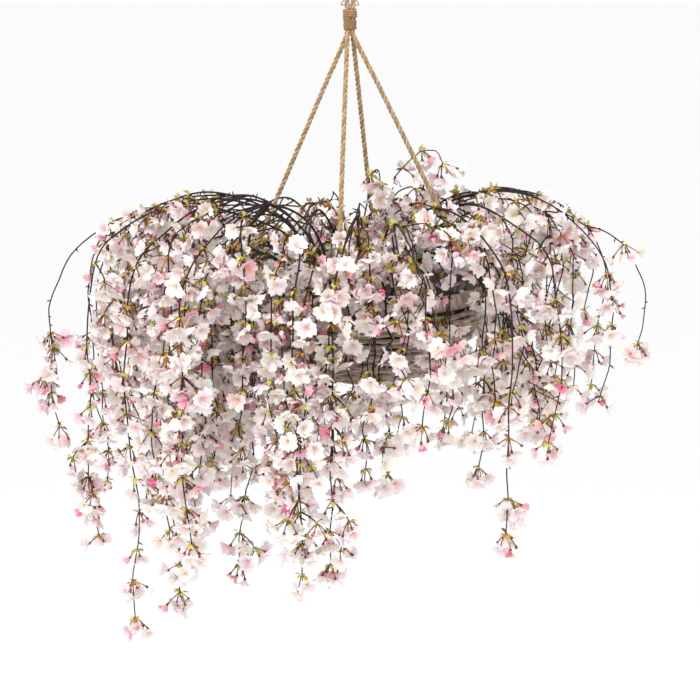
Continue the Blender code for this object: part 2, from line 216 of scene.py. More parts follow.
def evenly(line, count):
    """The same line with its points at equal distances along it."""
    steps = np.linalg.norm(np.diff(line, axis=0), axis=1)
    along = np.concatenate([[0.0], np.cumsum(steps)])
    places = np.linspace(0, along[-1], count)
    return np.stack([np.interp(places, along, line[:, k]) for k in range(3)], axis=-1)


def line_length(line):
    return float(np.linalg.norm(np.diff(line, axis=0), axis=1).sum())


def unit(vectors):
    return vectors / np.maximum(np.linalg.norm(vectors, axis=-1, keepdims=True), 1e-12)


# %% Bars
class Shape:
    """Points, faces and grain coordinates of a piece that is put together from several surfaces."""

    def __init__(self):
        self.points, self.faces, self.grain, self.tone, self.count = [], [], [], [], 0

    def add(self, points, faces, tone):
        """faces is a list of (corner indices, grain coordinate of each corner)."""
        self.points.append(points)
        for face, uv in faces:
            self.faces.append(face + self.count)
            self.grain.append(uv)
        self.tone.append(np.broadcast_to(tone, (len(points),)))
        self.count += len(points)

    def finish(self, name, finish, slot, *nodes):
        """Make the piece, and let it ride and stand for its solids. The slot argument is not used."""
        mesh = make_mesh(name, np.concatenate(self.points), self.faces)
        layer = mesh.uv_layers.new(name="grain")
        layer.data.foreach_set("uv", np.concatenate([g.reshape(-1, 2) for g in self.grain]).astype(np.float32).ravel())
        mesh.attributes.new("tone", "FLOAT", "POINT").data.foreach_set(
            "value", np.concatenate(self.tone).astype(np.float32))
        piece = add_object(name, mesh, finish)
        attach(piece, "root")
        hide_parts(*nodes)
        return piece


def add_bars(shape, paths, radii, sides, level=None, closed=False, flat=1.0, tone=0.0):
    """Point = path + radius * (cos a * across + flat * sin a * up), a going round the bar.
    across stands square to the path and close to level, and up is square to both."""
    paths = np.asarray(paths, float)
    many, count, _ = paths.shape
    radii = np.broadcast_to(radii, (many, count))
    if closed:
        ahead = unit(np.roll(paths, -1, axis=1) - np.roll(paths, 1, axis=1))
    else:
        ahead = unit(np.gradient(paths, axis=1))
    if level is None:
        span = np.abs(paths[:, -1] - paths[:, 0])
        level = np.eye(3)[np.argmin(span, axis=1)][:, None, :]
    level = np.broadcast_to(level, paths.shape)
    across = unit(level - ahead * (level * ahead).sum(-1, keepdims=True))
    up = np.cross(ahead, across)
    a = 2 * np.pi * np.arange(sides) / sides
    ring = np.cos(a)[:, None] * across[:, :, None, :] + flat * np.sin(a)[:, None] * up[:, :, None, :]
    points = paths[:, :, None, :] + radii[:, :, None, None] * ring
    steps = np.linalg.norm(np.diff(paths, axis=1), axis=-1)
    along = np.concatenate([np.zeros((many, 1)), np.cumsum(steps, axis=1)], axis=1)
    if closed:
        along = np.concatenate([along, along[:, -1:] + steps[:, :1]], axis=1)

    rows = count if closed else count - 1
    b, j, k = np.meshgrid(np.arange(many), np.arange(rows), np.arange(sides), indexing="ij")
    here, there = b * count * sides + j * sides, b * count * sides + (j + 1) % count * sides
    n = (k + 1) % sides
    quads = np.stack([here + k, here + n, there + n, there + k], axis=-1).reshape(-1, 4)
    low, high = along[b, j], along[b, j + 1]
    uv = np.stack([np.stack([k, k + 1, k + 1, k], axis=-1) / sides, np.stack([low, low, high, high], axis=-1)], axis=-1)
    faces = [(quads, uv.reshape(-1, 4, 2))]
    if not closed:
        starts = np.arange(many)[:, None] * count * sides
        first = starts + np.arange(sides)[None, ::-1]
        last = starts + (count - 1) * sides + np.arange(sides)[None, :]
        faces.append((np.concatenate([first, last]), np.zeros((2 * many, sides, 2))))
    tone = np.asarray(tone, float)
    if tone.ndim:
        tone = np.repeat(tone.reshape(many, -1), sides * count // tone.reshape(many, -1).shape[1], axis=1).ravel()
    shape.add(points.reshape(-1, 3), faces, tone)


# %% [markdown]
# ## Finishes
# Jute, twine, willow and bark are all fibrous, so they share one node group that draws fibres along a
# bar. It wraps the noise round the bar with a sine and a cosine, which leaves no seam. A second group
# gives slow blotches on Object coordinates, for weathering that runs over neighbouring rods.

# %% Fibres along a bar
def new_group(name, inputs, outputs):
    group = bpy.data.node_groups.new(name, "ShaderNodeTree")
    for label, kind, value in inputs:
        socket = group.interface.new_socket(label, in_out="INPUT", socket_type=kind)
        if value is not None:
            socket.default_value = value
    for label in outputs:
        group.interface.new_socket(label, in_out="OUTPUT", socket_type="NodeSocketFloat")
    return group, group.nodes.new("NodeGroupInput"), group.nodes.new("NodeGroupOutput")


def maths(tree, operation, a, b=0.0, c=0.0):
    node = tree.nodes.new("ShaderNodeMath")
    node.operation = operation
    for socket, value in zip(node.inputs, (a, b, c)):
        if isinstance(value, (int, float)):
            socket.default_value = value
        else:
            tree.links.new(value, socket)
    return node.outputs[0]


fibres, inside, out = new_group(
    "fibres_along_bar",
    [("Grain", "NodeSocketVector", None), ("Fineness", "NodeSocketFloat", 3.0),
     ("Stretch", "NodeSocketFloat", 60.0), ("Twist", "NodeSocketFloat", 0.0)], ["Fibre", "Strand"])
split = fibres.nodes.new("ShaderNodeSeparateXYZ")
fibres.links.new(inside.outputs["Grain"], split.inputs[0])
turned = maths(fibres, "MULTIPLY_ADD", split.outputs[1], inside.outputs["Twist"], split.outputs[0])
angle = maths(fibres, "MULTIPLY", turned, 2 * math.pi)
round_x = maths(fibres, "MULTIPLY", maths(fibres, "COSINE", angle), inside.outputs["Fineness"])
round_y = maths(fibres, "MULTIPLY", maths(fibres, "SINE", angle), inside.outputs["Fineness"])
run = maths(fibres, "MULTIPLY", split.outputs[1], inside.outputs["Stretch"])
wrapped = fibres.nodes.new("ShaderNodeCombineXYZ")
for socket, value in zip(wrapped.inputs, (round_x, round_y, run)):
    fibres.links.new(value, socket)
noise = fibres.nodes.new("ShaderNodeTexNoise")
noise.inputs["Scale"].default_value = 1.0
noise.inputs["Detail"].default_value = 3.0
noise.inputs["Roughness"].default_value = 0.6
fibres.links.new(wrapped.outputs[0], noise.inputs["Vector"])
fibres.links.new(noise.outputs["Fac"], out.inputs["Fibre"])
fibres.links.new(maths(fibres, "MULTIPLY_ADD", maths(fibres, "SINE", maths(fibres, "MULTIPLY", angle, 3.0)), 0.5, 0.5),
                 out.inputs["Strand"])

# %% Slow blotches
blotches, inside, out = new_group("blotches", [("Size", "NodeSocketFloat", 30.0), ("Low", "NodeSocketFloat", 0.35),
                                               ("High", "NodeSocketFloat", 0.65)], ["Mask"])
place = blotches.nodes.new("ShaderNodeTexCoord")
noise = blotches.nodes.new("ShaderNodeTexNoise")
noise.inputs["Detail"].default_value = 4.0
blotches.links.new(place.outputs["Object"], noise.inputs["Vector"])
blotches.links.new(inside.outputs["Size"], noise.inputs["Scale"])
spread = blotches.nodes.new("ShaderNodeMapRange")
blotches.links.new(noise.outputs["Fac"], spread.inputs["Value"])
blotches.links.new(inside.outputs["Low"], spread.inputs["From Min"])
blotches.links.new(inside.outputs["High"], spread.inputs["From Max"])
blotches.links.new(spread.outputs["Result"], out.inputs["Mask"])
print("node groups:", [g.name for g in bpy.data.node_groups])


# %% [markdown]
# A finish for a fibrous piece mixes three colours. The fibres choose between dark and light, the
# blotches pull part of it towards a weathered colour, and the piece's own tone darkens or lightens
# whole rods, because no two rods of a real basket are alike.

# %% Recipe for a fibrous finish
def group_node(tree, group, **values):
    node = tree.nodes.new("ShaderNodeGroup")
    node.node_tree = group
    for label, value in values.items():
        socket = node.inputs[label.replace("_", " ")]
        if isinstance(value, (int, float)):
            socket.default_value = value
        else:
            tree.links.new(value, socket)
    return node


def mixed(tree, mask, first, second, blend="MIX"):
    """A colour between two others; first and second are colours or sockets."""
    node = tree.nodes.new("ShaderNodeMix")
    node.data_type = "RGBA"
    node.blend_type = blend
    for socket, value in ((node.inputs["Factor"], mask), (node.inputs["A"], first), (node.inputs["B"], second)):
        if isinstance(value, (int, float)):
            socket.default_value = value
        elif isinstance(value, tuple):
            socket.default_value = (*value, 1.0)
        else:
            tree.links.new(value, socket)
    return node.outputs["Result"]


def range_of(tree, value, low, high, to_low=0.0, to_high=1.0):
    node = tree.nodes.new("ShaderNodeMapRange")
    tree.links.new(value, node.inputs["Value"])
    for label, number in zip(("From Min", "From Max", "To Min", "To Max"), (low, high, to_low, to_high)):
        node.inputs[label].default_value = number
    return node.outputs["Result"]


def new_finish(name, roughness, metallic=0.0):
    finish = bpy.data.materials.new(name)
    finish.use_nodes = True
    tree = finish.node_tree
    shader = tree.nodes["Principled BSDF"]
    shader.inputs["Roughness"].default_value = roughness
    shader.inputs["Metallic"].default_value = metallic
    return finish, tree, shader


def add_bump(tree, shader, height, strength, distance):
    bump = tree.nodes.new("ShaderNodeBump")
    bump.inputs["Strength"].default_value = strength
    bump.inputs["Distance"].default_value = distance
    tree.links.new(height, bump.inputs["Height"])
    tree.links.new(bump.outputs["Normal"], shader.inputs["Normal"])


def fibrous(name, dark, light, weathered, fineness, stretch, twist, blotch_size, roughness, relief):
    finish, tree, shader = new_finish(name, roughness)
    grain = tree.nodes.new("ShaderNodeUVMap")
    grain.uv_map = "grain"
    fibre = group_node(tree, fibres, Grain=grain.outputs[0], Fineness=fineness, Stretch=stretch, Twist=twist)
    colour = mixed(tree, range_of(tree, fibre.outputs["Fibre"], 0.32, 0.68), dark, light)
    blotch = group_node(tree, blotches, Size=blotch_size, Low=0.42, High=0.68)
    colour = mixed(tree, maths(tree, "MULTIPLY", blotch.outputs["Mask"], 0.6), colour, weathered)
    tone = tree.nodes.new("ShaderNodeAttribute")
    tone.attribute_name = "tone"
    colour = mixed(tree, tone.outputs["Fac"], colour, tuple(0.45 * c for c in dark))
    tree.links.new(colour, shader.inputs["Base Color"])
    tree.links.new(range_of(tree, fibre.outputs["Fibre"], 0.3, 0.7, roughness + 0.08, roughness - 0.08),
                   shader.inputs["Roughness"])
    add_bump(tree, shader, fibre.outputs["Fibre"], 0.7, relief)
    shader.inputs["Specular IOR Level"].default_value = 0.25
    return finish


jute = fibrous("laid_jute", (0.20, 0.120, 0.055), (0.74, 0.54, 0.32), (0.58, 0.38, 0.18), 2.2, 260.0, 90.0, 55.0,
               0.85, 0.0009)
twine = fibrous("wound_twine", (0.17, 0.085, 0.035), (0.50, 0.31, 0.155), (0.36, 0.19, 0.075), 1.6, 420.0, 160.0, 80.0,
                0.85, 0.0006)
willow = fibrous("weathered_willow", (0.150, 0.105, 0.082), (0.64, 0.52, 0.44), (0.46, 0.37, 0.31), 1.8, 55.0, 0.0,
                 26.0, 0.72, 0.0007)
bark = fibrous("dark_bark", (0.008, 0.005, 0.005), (0.040, 0.024, 0.022), (0.026, 0.020, 0.014), 1.2, 220.0, 0.0,
               45.0, 0.7, 0.0003)
print("fibrous finishes:", jute.name, twine.name, willow.name, bark.name)

# %% [markdown]
# ## Steel link
# A piece of galvanised wire bent to a triangle: the ceiling hook bears on its apex and both ropes
# hang over its straight side. The wire is a bar along a closed line whose corners are short arcs.

# %% Steel link
LINK_WIRE = 0.0024
LINK_HEIGHT = 0.0235
LINK_HALF_WIDTH = 0.0148
LINK_CORNER = 0.0030

steel, steel_tree, steel_shader = new_finish("steel_wire", 0.38, 1.0)
zinc = group_node(steel_tree, blotches, Size=420.0, Low=0.35, High=0.7)
steel_tree.links.new(mixed(steel_tree, zinc.outputs["Mask"], (0.36, 0.37, 0.38), (0.62, 0.63, 0.64)),
                     steel_shader.inputs["Base Color"])
steel_tree.links.new(range_of(steel_tree, zinc.outputs["Mask"], 0.0, 1.0, 0.30, 0.52), steel_shader.inputs["Roughness"])

wire_r = LINK_WIRE / 2
corner_points = np.array([(0, 0, wire_r), (LINK_HALF_WIDTH, 0, wire_r - LINK_HEIGHT),
                          (-LINK_HALF_WIDTH, 0, wire_r - LINK_HEIGHT)])
inward = unit(np.roll(corner_points, 1, axis=0) - corner_points) * LINK_CORNER
outward = unit(np.roll(corner_points, -1, axis=0) - corner_points) * LINK_CORNER
t = np.linspace(0, 1, 9)[None, :, None]
wire_line = (corner_points[:, None] + inward[:, None] * (1 - t) ** 2 + outward[:, None] * t ** 2).reshape(-1, 3)
wire_line[:, 2] += wire_r - wire_line[:, 2].max()
link = Shape()
add_bars(link, wire_line[None], wire_r, 14, level=np.array([0.0, 1.0, 0.0]), closed=True)
link.finish("hanging_link_wire", steel, "steel_wire", "hanging_link")
wire_height = float(wire_line[:, 2].min())
print("wire of the straight side at", round(wire_height, 4))

# %% [markdown]
# ## Jute ropes
# Each rope is three strands laid round each other. A twisted texture on a plain bar would look flat
# at the edge, so the strands are real: their middle lines wind round the rope's own line, and each is
# a bar. The rope comes out of the whipping, runs straight to the rim, goes round the willow border
# and comes back up beside itself.

# %% Three-strand rope
ROPE_LAY = 0.026
STRAND_OFFSET = 0.0021
STRAND_RADIUS = 0.00188
STRAND_TONES = np.array([[0.0], [0.40], [0.15]])


def radial_point(azimuth, radius, side, height):
    """A point named by its distance from the bowl's axis, its sideways offset and its height."""
    a = np.radians(azimuth)
    return np.stack(np.broadcast_arrays(AXIS_X + radius * np.cos(a) - side * np.sin(a),
                                        radius * np.sin(a) + side * np.cos(a), height), axis=-1)


def add_rope(shape, line, level):
    """Strand k's middle = line + offset * (cos p * across + sin p * up), p = a full turn per lay + k thirds."""
    line = evenly(line, int(line_length(line) / 0.0024))
    ahead = unit(np.gradient(line, axis=0))
    across = unit(level - ahead * (ahead @ level)[:, None])
    up = np.cross(ahead, across)
    along = np.linspace(0, line_length(line), len(line))
    p = 2 * np.pi * (along / ROPE_LAY + np.arange(3)[:, None] / 3)
    strands = line + STRAND_OFFSET * (np.cos(p)[..., None] * across + np.sin(p)[..., None] * up)
    add_bars(shape, strands, STRAND_RADIUS, 7, level=level, tone=STRAND_TONES)


def add_fuzz(shape, line, count, rng, reach):
    """Loose fibres: thin hairs that leave the rope sideways and bend back along it."""
    here = line[rng.integers(2, len(line) - 2, count)]
    ahead = unit(np.gradient(line, axis=0))[rng.integers(2, len(line) - 2, count)]
    away = unit(np.cross(ahead, rng.normal(size=(count, 3))))
    t = np.linspace(0, 1, 4)[None, :, None]
    length = rng.uniform(0.4, 1.0, (count, 1, 1)) * reach
    hairs = here[:, None] + away[:, None] * (0.0030 + length * t * 0.6) + ahead[:, None] * length * t ** 2
    add_bars(shape, hairs, 0.00011 * (1.3 - np.linspace(0, 1, 4)), 3)


def lashing_line(azimuth):
    """Foot, upward direction and outward normal of the doubled rope above the rim."""
    foot = radial_point(azimuth, 0.1895, 0.0, -0.4435)
    up = unit(np.array([0.0, 0.0, WHIPPING_BOTTOM - 0.010]) - foot)
    side = np.array([-math.sin(math.radians(azimuth)), math.cos(math.radians(azimuth)), 0.0])
    return foot, up, unit(np.cross(side, up)), side


# %% Rope legs
rng = np.random.default_rng(7)
for index, name in enumerate(SIDES):
    azimuth = ROPE_TURN + 90.0 * index
    foot, up, out, side = lashing_line(azimuth)
    corner = math.radians(azimuth + 45.0 - ROPE_TURN - 90.0)
    core = np.array([math.cos(corner), math.sin(corner), 0.0]) * ROPE_PITCH * math.sqrt(0.5)
    half, slack = ROPE_PITCH / 2, ROPE_D / 2 + 0.0012
    inner, outer = RIM_RADIUS - BORDER_WIDTH - slack, RIM_RADIUS + slack
    top = foot + up * (LASHING_LENGTH + 0.004)
    start = core + (0, 0, WHIPPING_BOTTOM - 0.003)
    straight = [start + (top - out * half - start) * t for t in (0.25, 0.5, 0.75, 0.97)]
    loop = [foot - out * half, radial_point(azimuth, inner, 0, RIM_TOP - 0.004),
            radial_point(azimuth, inner + 0.0015, 0, RIM_LOW + 0.001),
            radial_point(azimuth, (inner + outer) / 2, 0, RIM_LOW - slack),
            radial_point(azimuth, outer - 0.0015, 0, RIM_LOW + 0.001),
            radial_point(azimuth, outer, 0, RIM_TOP - 0.006), foot + out * half, top + out * half]
    line = curve_through([core + (0, 0, WHIPPING_TOP - 0.008), start] + straight + loop, 400)
    rope = Shape()
    add_rope(rope, line, side)
    add_fuzz(rope, line, 150, rng, 0.006)
    rope.finish(f"rope_{name}_jute", jute, "jute_rope", f"rope_{name}")
    print("rope", name, round(line_length(line), 3), "m")

# %% Rope eyes over the link
bend = wire_r + ROPE_D / 2 + 0.0007
half = ROPE_PITCH / 2
for name, x in (("left", -EYE_X), ("right", EYE_X)):
    inner_x = math.copysign(half, x)
    turn = np.array([0.0, 0.55, 1.1, math.pi / 2, math.pi - 1.1, math.pi - 0.55, math.pi])
    over = np.stack([np.full(7, x), bend * np.cos(turn), wire_height + bend * np.sin(turn)], axis=-1)
    line = np.vstack([[(inner_x, half, WHIPPING_TOP - 0.006), (inner_x, half, WHIPPING_TOP - 0.001)], over,
                      [(inner_x, -half, WHIPPING_TOP - 0.001), (inner_x, -half, WHIPPING_TOP - 0.006)]])
    eye = Shape()
    add_rope(eye, curve_through(line, 80), np.array([1.0, 0.0, 0.0]))
    eye.finish(f"rope_eye_{name}_jute", jute, "jute_rope", f"rope_eye_{name}")

# %% [markdown]
# ## Wound twine
# Twine wound round the ropes holds them together: five thick turns and then a finer winding under
# the link, and fine close turns on each lashing at the rim. One long helix is one piece of twine, as
# on the real basket. Its section round the doubled rope is a slot with two round ends.

# %% Whipping under the link
def add_helix(shape, radius, top, bottom, pitch, thickness, tone=0.0):
    """A helix about the vertical axis; the last turn at each end is pulled in under the others."""
    turns = (top - bottom) / pitch
    p = np.linspace(0, 2 * np.pi * turns, int(turns * 26))
    ends = np.clip(np.minimum(p, p[-1] - p) / 1.2, 0, 1)
    r = radius * (0.80 + 0.20 * ends) + 0.0002 * np.sin(2.7 * p)
    line = np.stack([r * np.cos(p), r * np.sin(p), top - (top - bottom) * p / p[-1]], axis=-1)
    add_bars(shape, line[None], thickness / 2, 8, level=np.array([0.0, 0.0, 1.0]), tone=tone)


whipping = Shape()
split_height = WHIPPING_TOP - 0.0155
add_helix(whipping, WHIPPING_RADIUS - 0.0022, WHIPPING_TOP - 0.0020, split_height, 0.0036, 0.0038, 0.0)
add_helix(whipping, WHIPPING_RADIUS - 0.0026, split_height - 0.0010, WHIPPING_BOTTOM + 0.001, 0.0025, 0.0027, 0.15)
whipping.finish("top_whipping_twine", twine, "jute_twine", "top_whipping")

# %% Lashings at the rim
TWINE_D = 0.0020
for index, name in enumerate(SIDES):
    foot, up, out, side = lashing_line(ROPE_TURN + 90.0 * index)
    turns = (LASHING_LENGTH - 0.002) / (TWINE_D * 0.98)
    p = np.linspace(0, 2 * np.pi * turns, int(turns * 22))
    ends = np.clip(np.minimum(p, p[-1] - p) / 1.5, 0, 1)
    reach = ROPE_D / 2 + 0.0012 * ends
    shift = ROPE_PITCH / 2 * np.tanh(4 * np.cos(p))
    line = (foot + np.outer(0.001 + (LASHING_LENGTH - 0.002) * p / p[-1] + 0.00015 * np.sin(1.7 * p), up)
            + np.outer(shift + reach * np.cos(p), out) + np.outer(reach * np.sin(p), side))
    lashing = Shape()
    add_bars(lashing, line[None], TWINE_D / 2, 6, level=up)
    lashing.finish(f"lashing_{name}_twine", twine, "jute_twine", f"lashing_{name}")
print("twine on one lashing:", round(line_length(line), 2), "m")

# %% [markdown]
# ## Willow bowl
# The wall is woven: upright stakes stand all round and each row of willow passes in front of one
# stake and behind the next. A woven texture on a smooth bowl has no gaps and no edge, so every rod is
# modelled. A row is one closed bar whose distance from the axis swings with the stakes.

# %% Shape of the wall
STAKES = 34
ROW_STEP = 0.0101
ROD = 0.0043


def bowl_radius(height):
    """Outside radius: a superellipse from the base up to the border."""
    share = (RIM_LOW - height) / (RIM_LOW - BOWL_BOTTOM)
    return BASE_RADIUS + (RIM_RADIUS - 0.003 - BASE_RADIUS) * np.maximum(0, 1 - share ** BOWL_FULLNESS) ** (1 / 1.35)


heights = np.linspace(RIM_LOW - 0.001, BOWL_BOTTOM + 0.010, 400)
profile = np.stack([bowl_radius(heights), np.zeros(400), heights], axis=-1)
wall_length = line_length(profile)
rows = int(wall_length / ROW_STEP)
row_line = evenly(profile, rows + 1)[1:]
slope = unit(np.gradient(evenly(profile, rows + 1), axis=0))[1:]
row_out = np.stack([-slope[:, 2], slope[:, 0]], axis=-1)
print("rows of willow in the wall:", rows)

# %% Woven rows
rng = np.random.default_rng(11)
theta = np.linspace(0, 2 * np.pi, STAKES * 7, endpoint=False)


def wobble(many, size, rng):
    """A slow random swing round the bowl for each rod: sines of 2 to 9 waves with random starts."""
    waves = np.arange(2, 10)
    phase = rng.uniform(0, 2 * np.pi, (many, len(waves), 1))
    return size * (np.sin(waves[:, None] * theta + phase) * rng.normal(0.5, 0.3, (many, len(waves), 1))).sum(1)


def add_rows(shape, radius, height, out_r, out_z, swing, thickness, rng):
    """Rod k: distance from the axis = radius + swing * cos(stakes / 2 * angle + half a turn for odd k)."""
    many = len(radius)
    sway = swing * np.cos(STAKES / 2 * theta + np.pi * (np.arange(many) % 2)[:, None] + rng.normal(0, 0.12, (many, 1)))
    sway = sway - 0.0038 + wobble(many, 0.00025, rng)
    r = radius[:, None] + out_r[:, None] * sway
    z = height[:, None] + out_z[:, None] * sway + wobble(many, 0.0004, rng)
    for index in range(4):
        gap = np.abs((theta - math.radians(ROPE_TURN + 90.0 * index) + np.pi) % (2 * np.pi) - np.pi)
        z -= 0.0055 * np.exp(-(gap / 0.055) ** 2) * np.exp(-np.maximum(0, RIM_LOW - height) / 0.012)[:, None]
    paths = np.stack([AXIS_X + r * np.cos(theta), r * np.sin(theta), z], axis=-1)
    thick = thickness * (1 + wobble(many, 0.05, rng))
    add_bars(shape, paths, thick, 7, level=np.array([0.0, 0.0, 1.0]), closed=True, flat=0.72,
             tone=rng.uniform(0.0, 0.30, (many, 1)))


wall = Shape()
add_rows(wall, row_line[:, 0], row_line[:, 2], row_out[:, 0], row_out[:, 1], 0.0024, ROD, rng)
stake_turn = 2 * np.pi * np.arange(STAKES) / STAKES
stake_profile = evenly(profile, 26)
stake_r = stake_profile[:, 0] - 0.0038
stakes = np.stack([AXIS_X + stake_r * np.cos(stake_turn)[:, None], stake_r * np.sin(stake_turn)[:, None],
                   np.broadcast_to(stake_profile[:, 2], (STAKES, 26))], axis=-1)
add_bars(wall, stakes, 0.0021, 6, tone=rng.uniform(0.2, 0.6, (STAKES, 1)))
wall.finish("basket_wall_willow", willow, "grey_willow", "basket_wall")

# %% [markdown]
# The border is a hoop wrapped with split willow, which shows as narrow upright strips. Wrapping it with
# separate bars would hide most of each one, so the hoop is a single surface: a rounded section carried
# round the rim, with a small ridge for every turn of the wrapping.

# %% Wrapped border
WRAPS = 250
SECTION = 14
around = np.linspace(0, 2 * np.pi, WRAPS * 5, endpoint=False)[:, None]
section = np.linspace(0, 2 * np.pi, SECTION, endpoint=False)[None, :]
wrap = WRAPS * around / (2 * np.pi) + 2 * section / (2 * np.pi)
strip_rng = np.random.default_rng(3)
strip_size = strip_rng.uniform(0.5, 1.3, WRAPS + 3)
strip_tone = strip_rng.uniform(0.0, 0.55, WRAPS + 3)
strip = np.floor(wrap).astype(int) % WRAPS
ridge = 0.0009 * strip_size[strip] * np.abs(np.sin(np.pi * wrap)) ** 0.7 - 0.0006
cos_s, sin_s = np.cos(section), np.sin(section)
half_wide = (BORDER_WIDTH / 2 - 0.0003 + ridge) * np.sign(cos_s) * np.abs(cos_s) ** 0.55
half_high = (0.0118 + ridge) * np.sign(sin_s) * np.abs(sin_s) ** 0.55
rim_r = RIM_RADIUS - BORDER_WIDTH / 2 + half_wide
rim_z = (RIM_TOP + RIM_LOW) / 2 + half_high + 0.0006 * np.sin(9 * around) + 0.0004 * np.sin(23 * around + 1)
border_points = np.stack([AXIS_X + rim_r * np.cos(around), rim_r * np.sin(around), rim_z], axis=-1)
quads = ring_faces(len(around) + 1, SECTION) % (len(around) * SECTION)
quads = quads[:, ::-1]
j, k = np.meshgrid(np.arange(len(around)), np.arange(SECTION), indexing="ij")
wrap_run = 0.006 * WRAPS * np.stack([j, j + 1, j + 1, j], axis=-1)[..., ::-1] / len(around)
section_run = np.stack([k, k, k + 1, k + 1], axis=-1)[..., ::-1] / SECTION
border = Shape()
border_grain = np.stack([wrap_run * 30, section_run * 0.07], axis=-1).reshape(-1, 4, 2)
border.add(border_points.reshape(-1, 3), [(quads, border_grain)], strip_tone[strip].ravel())
border.finish("basket_border_willow", willow, "grey_willow", "basket_border")

# %% [markdown]
# The base is woven flat in the same way, on rods that cross in the middle.

# %% Woven base
base = Shape()
rings = np.arange(0.018, BASE_RADIUS + 0.004, 0.0070)
rng = np.random.default_rng(23)
base_height = np.interp(rings, (0, BASE_RADIUS - 0.012, BASE_RADIUS + 0.004), (-0.6012, -0.6022, -0.5975))
sway = 0.0014 * np.cos(8 * theta + np.pi * (np.arange(len(rings)) % 2)[:, None])
ring_r = rings[:, None] + wobble(len(rings), 0.0003, rng)
paths = np.stack([AXIS_X + ring_r * np.cos(theta), ring_r * np.sin(theta), base_height[:, None] + sway], axis=-1)
add_bars(base, paths, 0.0028, 6, level=np.array([0.0, 0.0, 1.0]), closed=True, tone=rng.uniform(0, 0.5, (len(rings), 1)))
spoke_turn = np.pi * np.arange(8) / 8
reach = np.linspace(-BASE_RADIUS - 0.002, BASE_RADIUS + 0.002, 15)
spokes = np.stack([AXIS_X + reach * np.cos(spoke_turn)[:, None], reach * np.sin(spoke_turn)[:, None],
                   np.broadcast_to(-0.6000 + 0.0025 * (np.abs(reach) / BASE_RADIUS) ** 4, (8, 15))], axis=-1)
add_bars(base, spokes, 0.0021, 6, level=np.array([0.0, 0.0, 1.0]), tone=rng.uniform(0.1, 0.5, (8, 1)))
base.finish("basket_base_willow", willow, "grey_willow", "basket_base")

# %% [markdown]
# ## Florist's foam
# The stems stand in a block of dry foam that nobody should notice. Its solid has the right shape, with
# a hole for every stem, so it stays and only gets a finish: dark, matt and full of pores.

# %% Foam finish
foam, foam_tree, foam_shader = new_finish("dry_foam", 0.95)
pores = foam_tree.nodes.new("ShaderNodeTexVoronoi")
pores.inputs["Scale"].default_value = 420.0
foam_place = foam_tree.nodes.new("ShaderNodeTexCoord")
foam_tree.links.new(foam_place.outputs["Object"], pores.inputs["Vector"])
damp = group_node(foam_tree, blotches, Size=40.0, Low=0.3, High=0.7)
foam_colour = mixed(foam_tree, damp.outputs["Mask"], (0.040, 0.042, 0.020), (0.085, 0.072, 0.040))
# painted shade: the pores are coloured near-black to stand in for the shade inside the holes
foam_colour = mixed(foam_tree, range_of(foam_tree, pores.outputs["Distance"], 0.0, 0.5), (0.012, 0.011, 0.007), foam_colour)
foam_tree.links.new(foam_colour, foam_shader.inputs["Base Color"])
add_bump(foam_tree, foam_shader, pores.outputs["Distance"], 0.8, 0.001)
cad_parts["florist_foam"].data.materials.clear()
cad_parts["florist_foam"].data.materials.append(foam)

# %% [markdown]
# ## Petals, leaves and stalks
# Silk petals are thin, so light shines through them: the finish mixes a matt surface with a
# translucent one. Each point of a petal carries how far along it lies, how pink its flower is, and a
# number for the petal itself. The same finish then draws white, pale pink and deep pink flowers.

# %% Petal finish
petal, petal_tree, petal_shader = new_finish("silk_petal", 0.62)
bloom = petal_tree.nodes.new("ShaderNodeAttribute")
bloom.attribute_name = "bloom"
parts = petal_tree.nodes.new("ShaderNodeSeparateXYZ")
petal_tree.links.new(bloom.outputs["Vector"], parts.inputs[0])
along, pinkness, own = parts.outputs
white = mixed(petal_tree, own, (0.955, 0.940, 0.870), (0.945, 0.905, 0.945))
pink = mixed(petal_tree, own, (0.90, 0.33, 0.38), (0.84, 0.16, 0.38))
colour = mixed(petal_tree, range_of(petal_tree, pinkness, 0.10, 0.95), white, pink)
blush = maths(petal_tree, "MAXIMUM", range_of(petal_tree, pinkness, 0.02, 0.5, 0.10, 0.85),
              maths(petal_tree, "MULTIPLY", own, 0.55))
flush = maths(petal_tree, "MULTIPLY", range_of(petal_tree, along, 0.72, 0.0), blush)
colour = mixed(petal_tree, flush, colour, (0.84, 0.24, 0.30))
veins = petal_tree.nodes.new("ShaderNodeTexWave")
veins.inputs["Scale"].default_value = 1.9
veins.inputs["Distortion"].default_value = 1.4
veins.inputs["Detail"].default_value = 1.0
vein_place = petal_tree.nodes.new("ShaderNodeUVMap")
vein_place.uv_map = "grain"
petal_tree.links.new(vein_place.outputs[0], veins.inputs["Vector"])
vein_mask = maths(petal_tree, "MULTIPLY", veins.outputs["Fac"], 0.09)
colour = mixed(petal_tree, vein_mask, colour, (0.84, 0.60, 0.58))
middle_colour = mixed(petal_tree, range_of(petal_tree, along, -1.0, -0.5), (0.86, 0.74, 0.36), (0.90, 0.68, 0.34))
colour = mixed(petal_tree, maths(petal_tree, "LESS_THAN", along, -0.2), colour, middle_colour)
petal_tree.links.new(colour, petal_shader.inputs["Base Color"])
petal_shader.inputs["Specular IOR Level"].default_value = 0.2
add_bump(petal_tree, petal_shader, veins.outputs["Fac"], 0.25, 0.0004)
through = petal_tree.nodes.new("ShaderNodeBsdfTranslucent")
petal_tree.links.new(mixed(petal_tree, 0.15, colour, (0.95, 0.86, 0.78)), through.inputs["Color"])
thin = petal_tree.nodes.new("ShaderNodeMixShader")
thin.inputs["Fac"].default_value = 0.17
petal_tree.links.new(petal_shader.outputs[0], thin.inputs[1])
petal_tree.links.new(through.outputs[0], thin.inputs[2])
petal_tree.links.new(thin.outputs[0], petal_tree.nodes["Material Output"].inputs["Surface"])

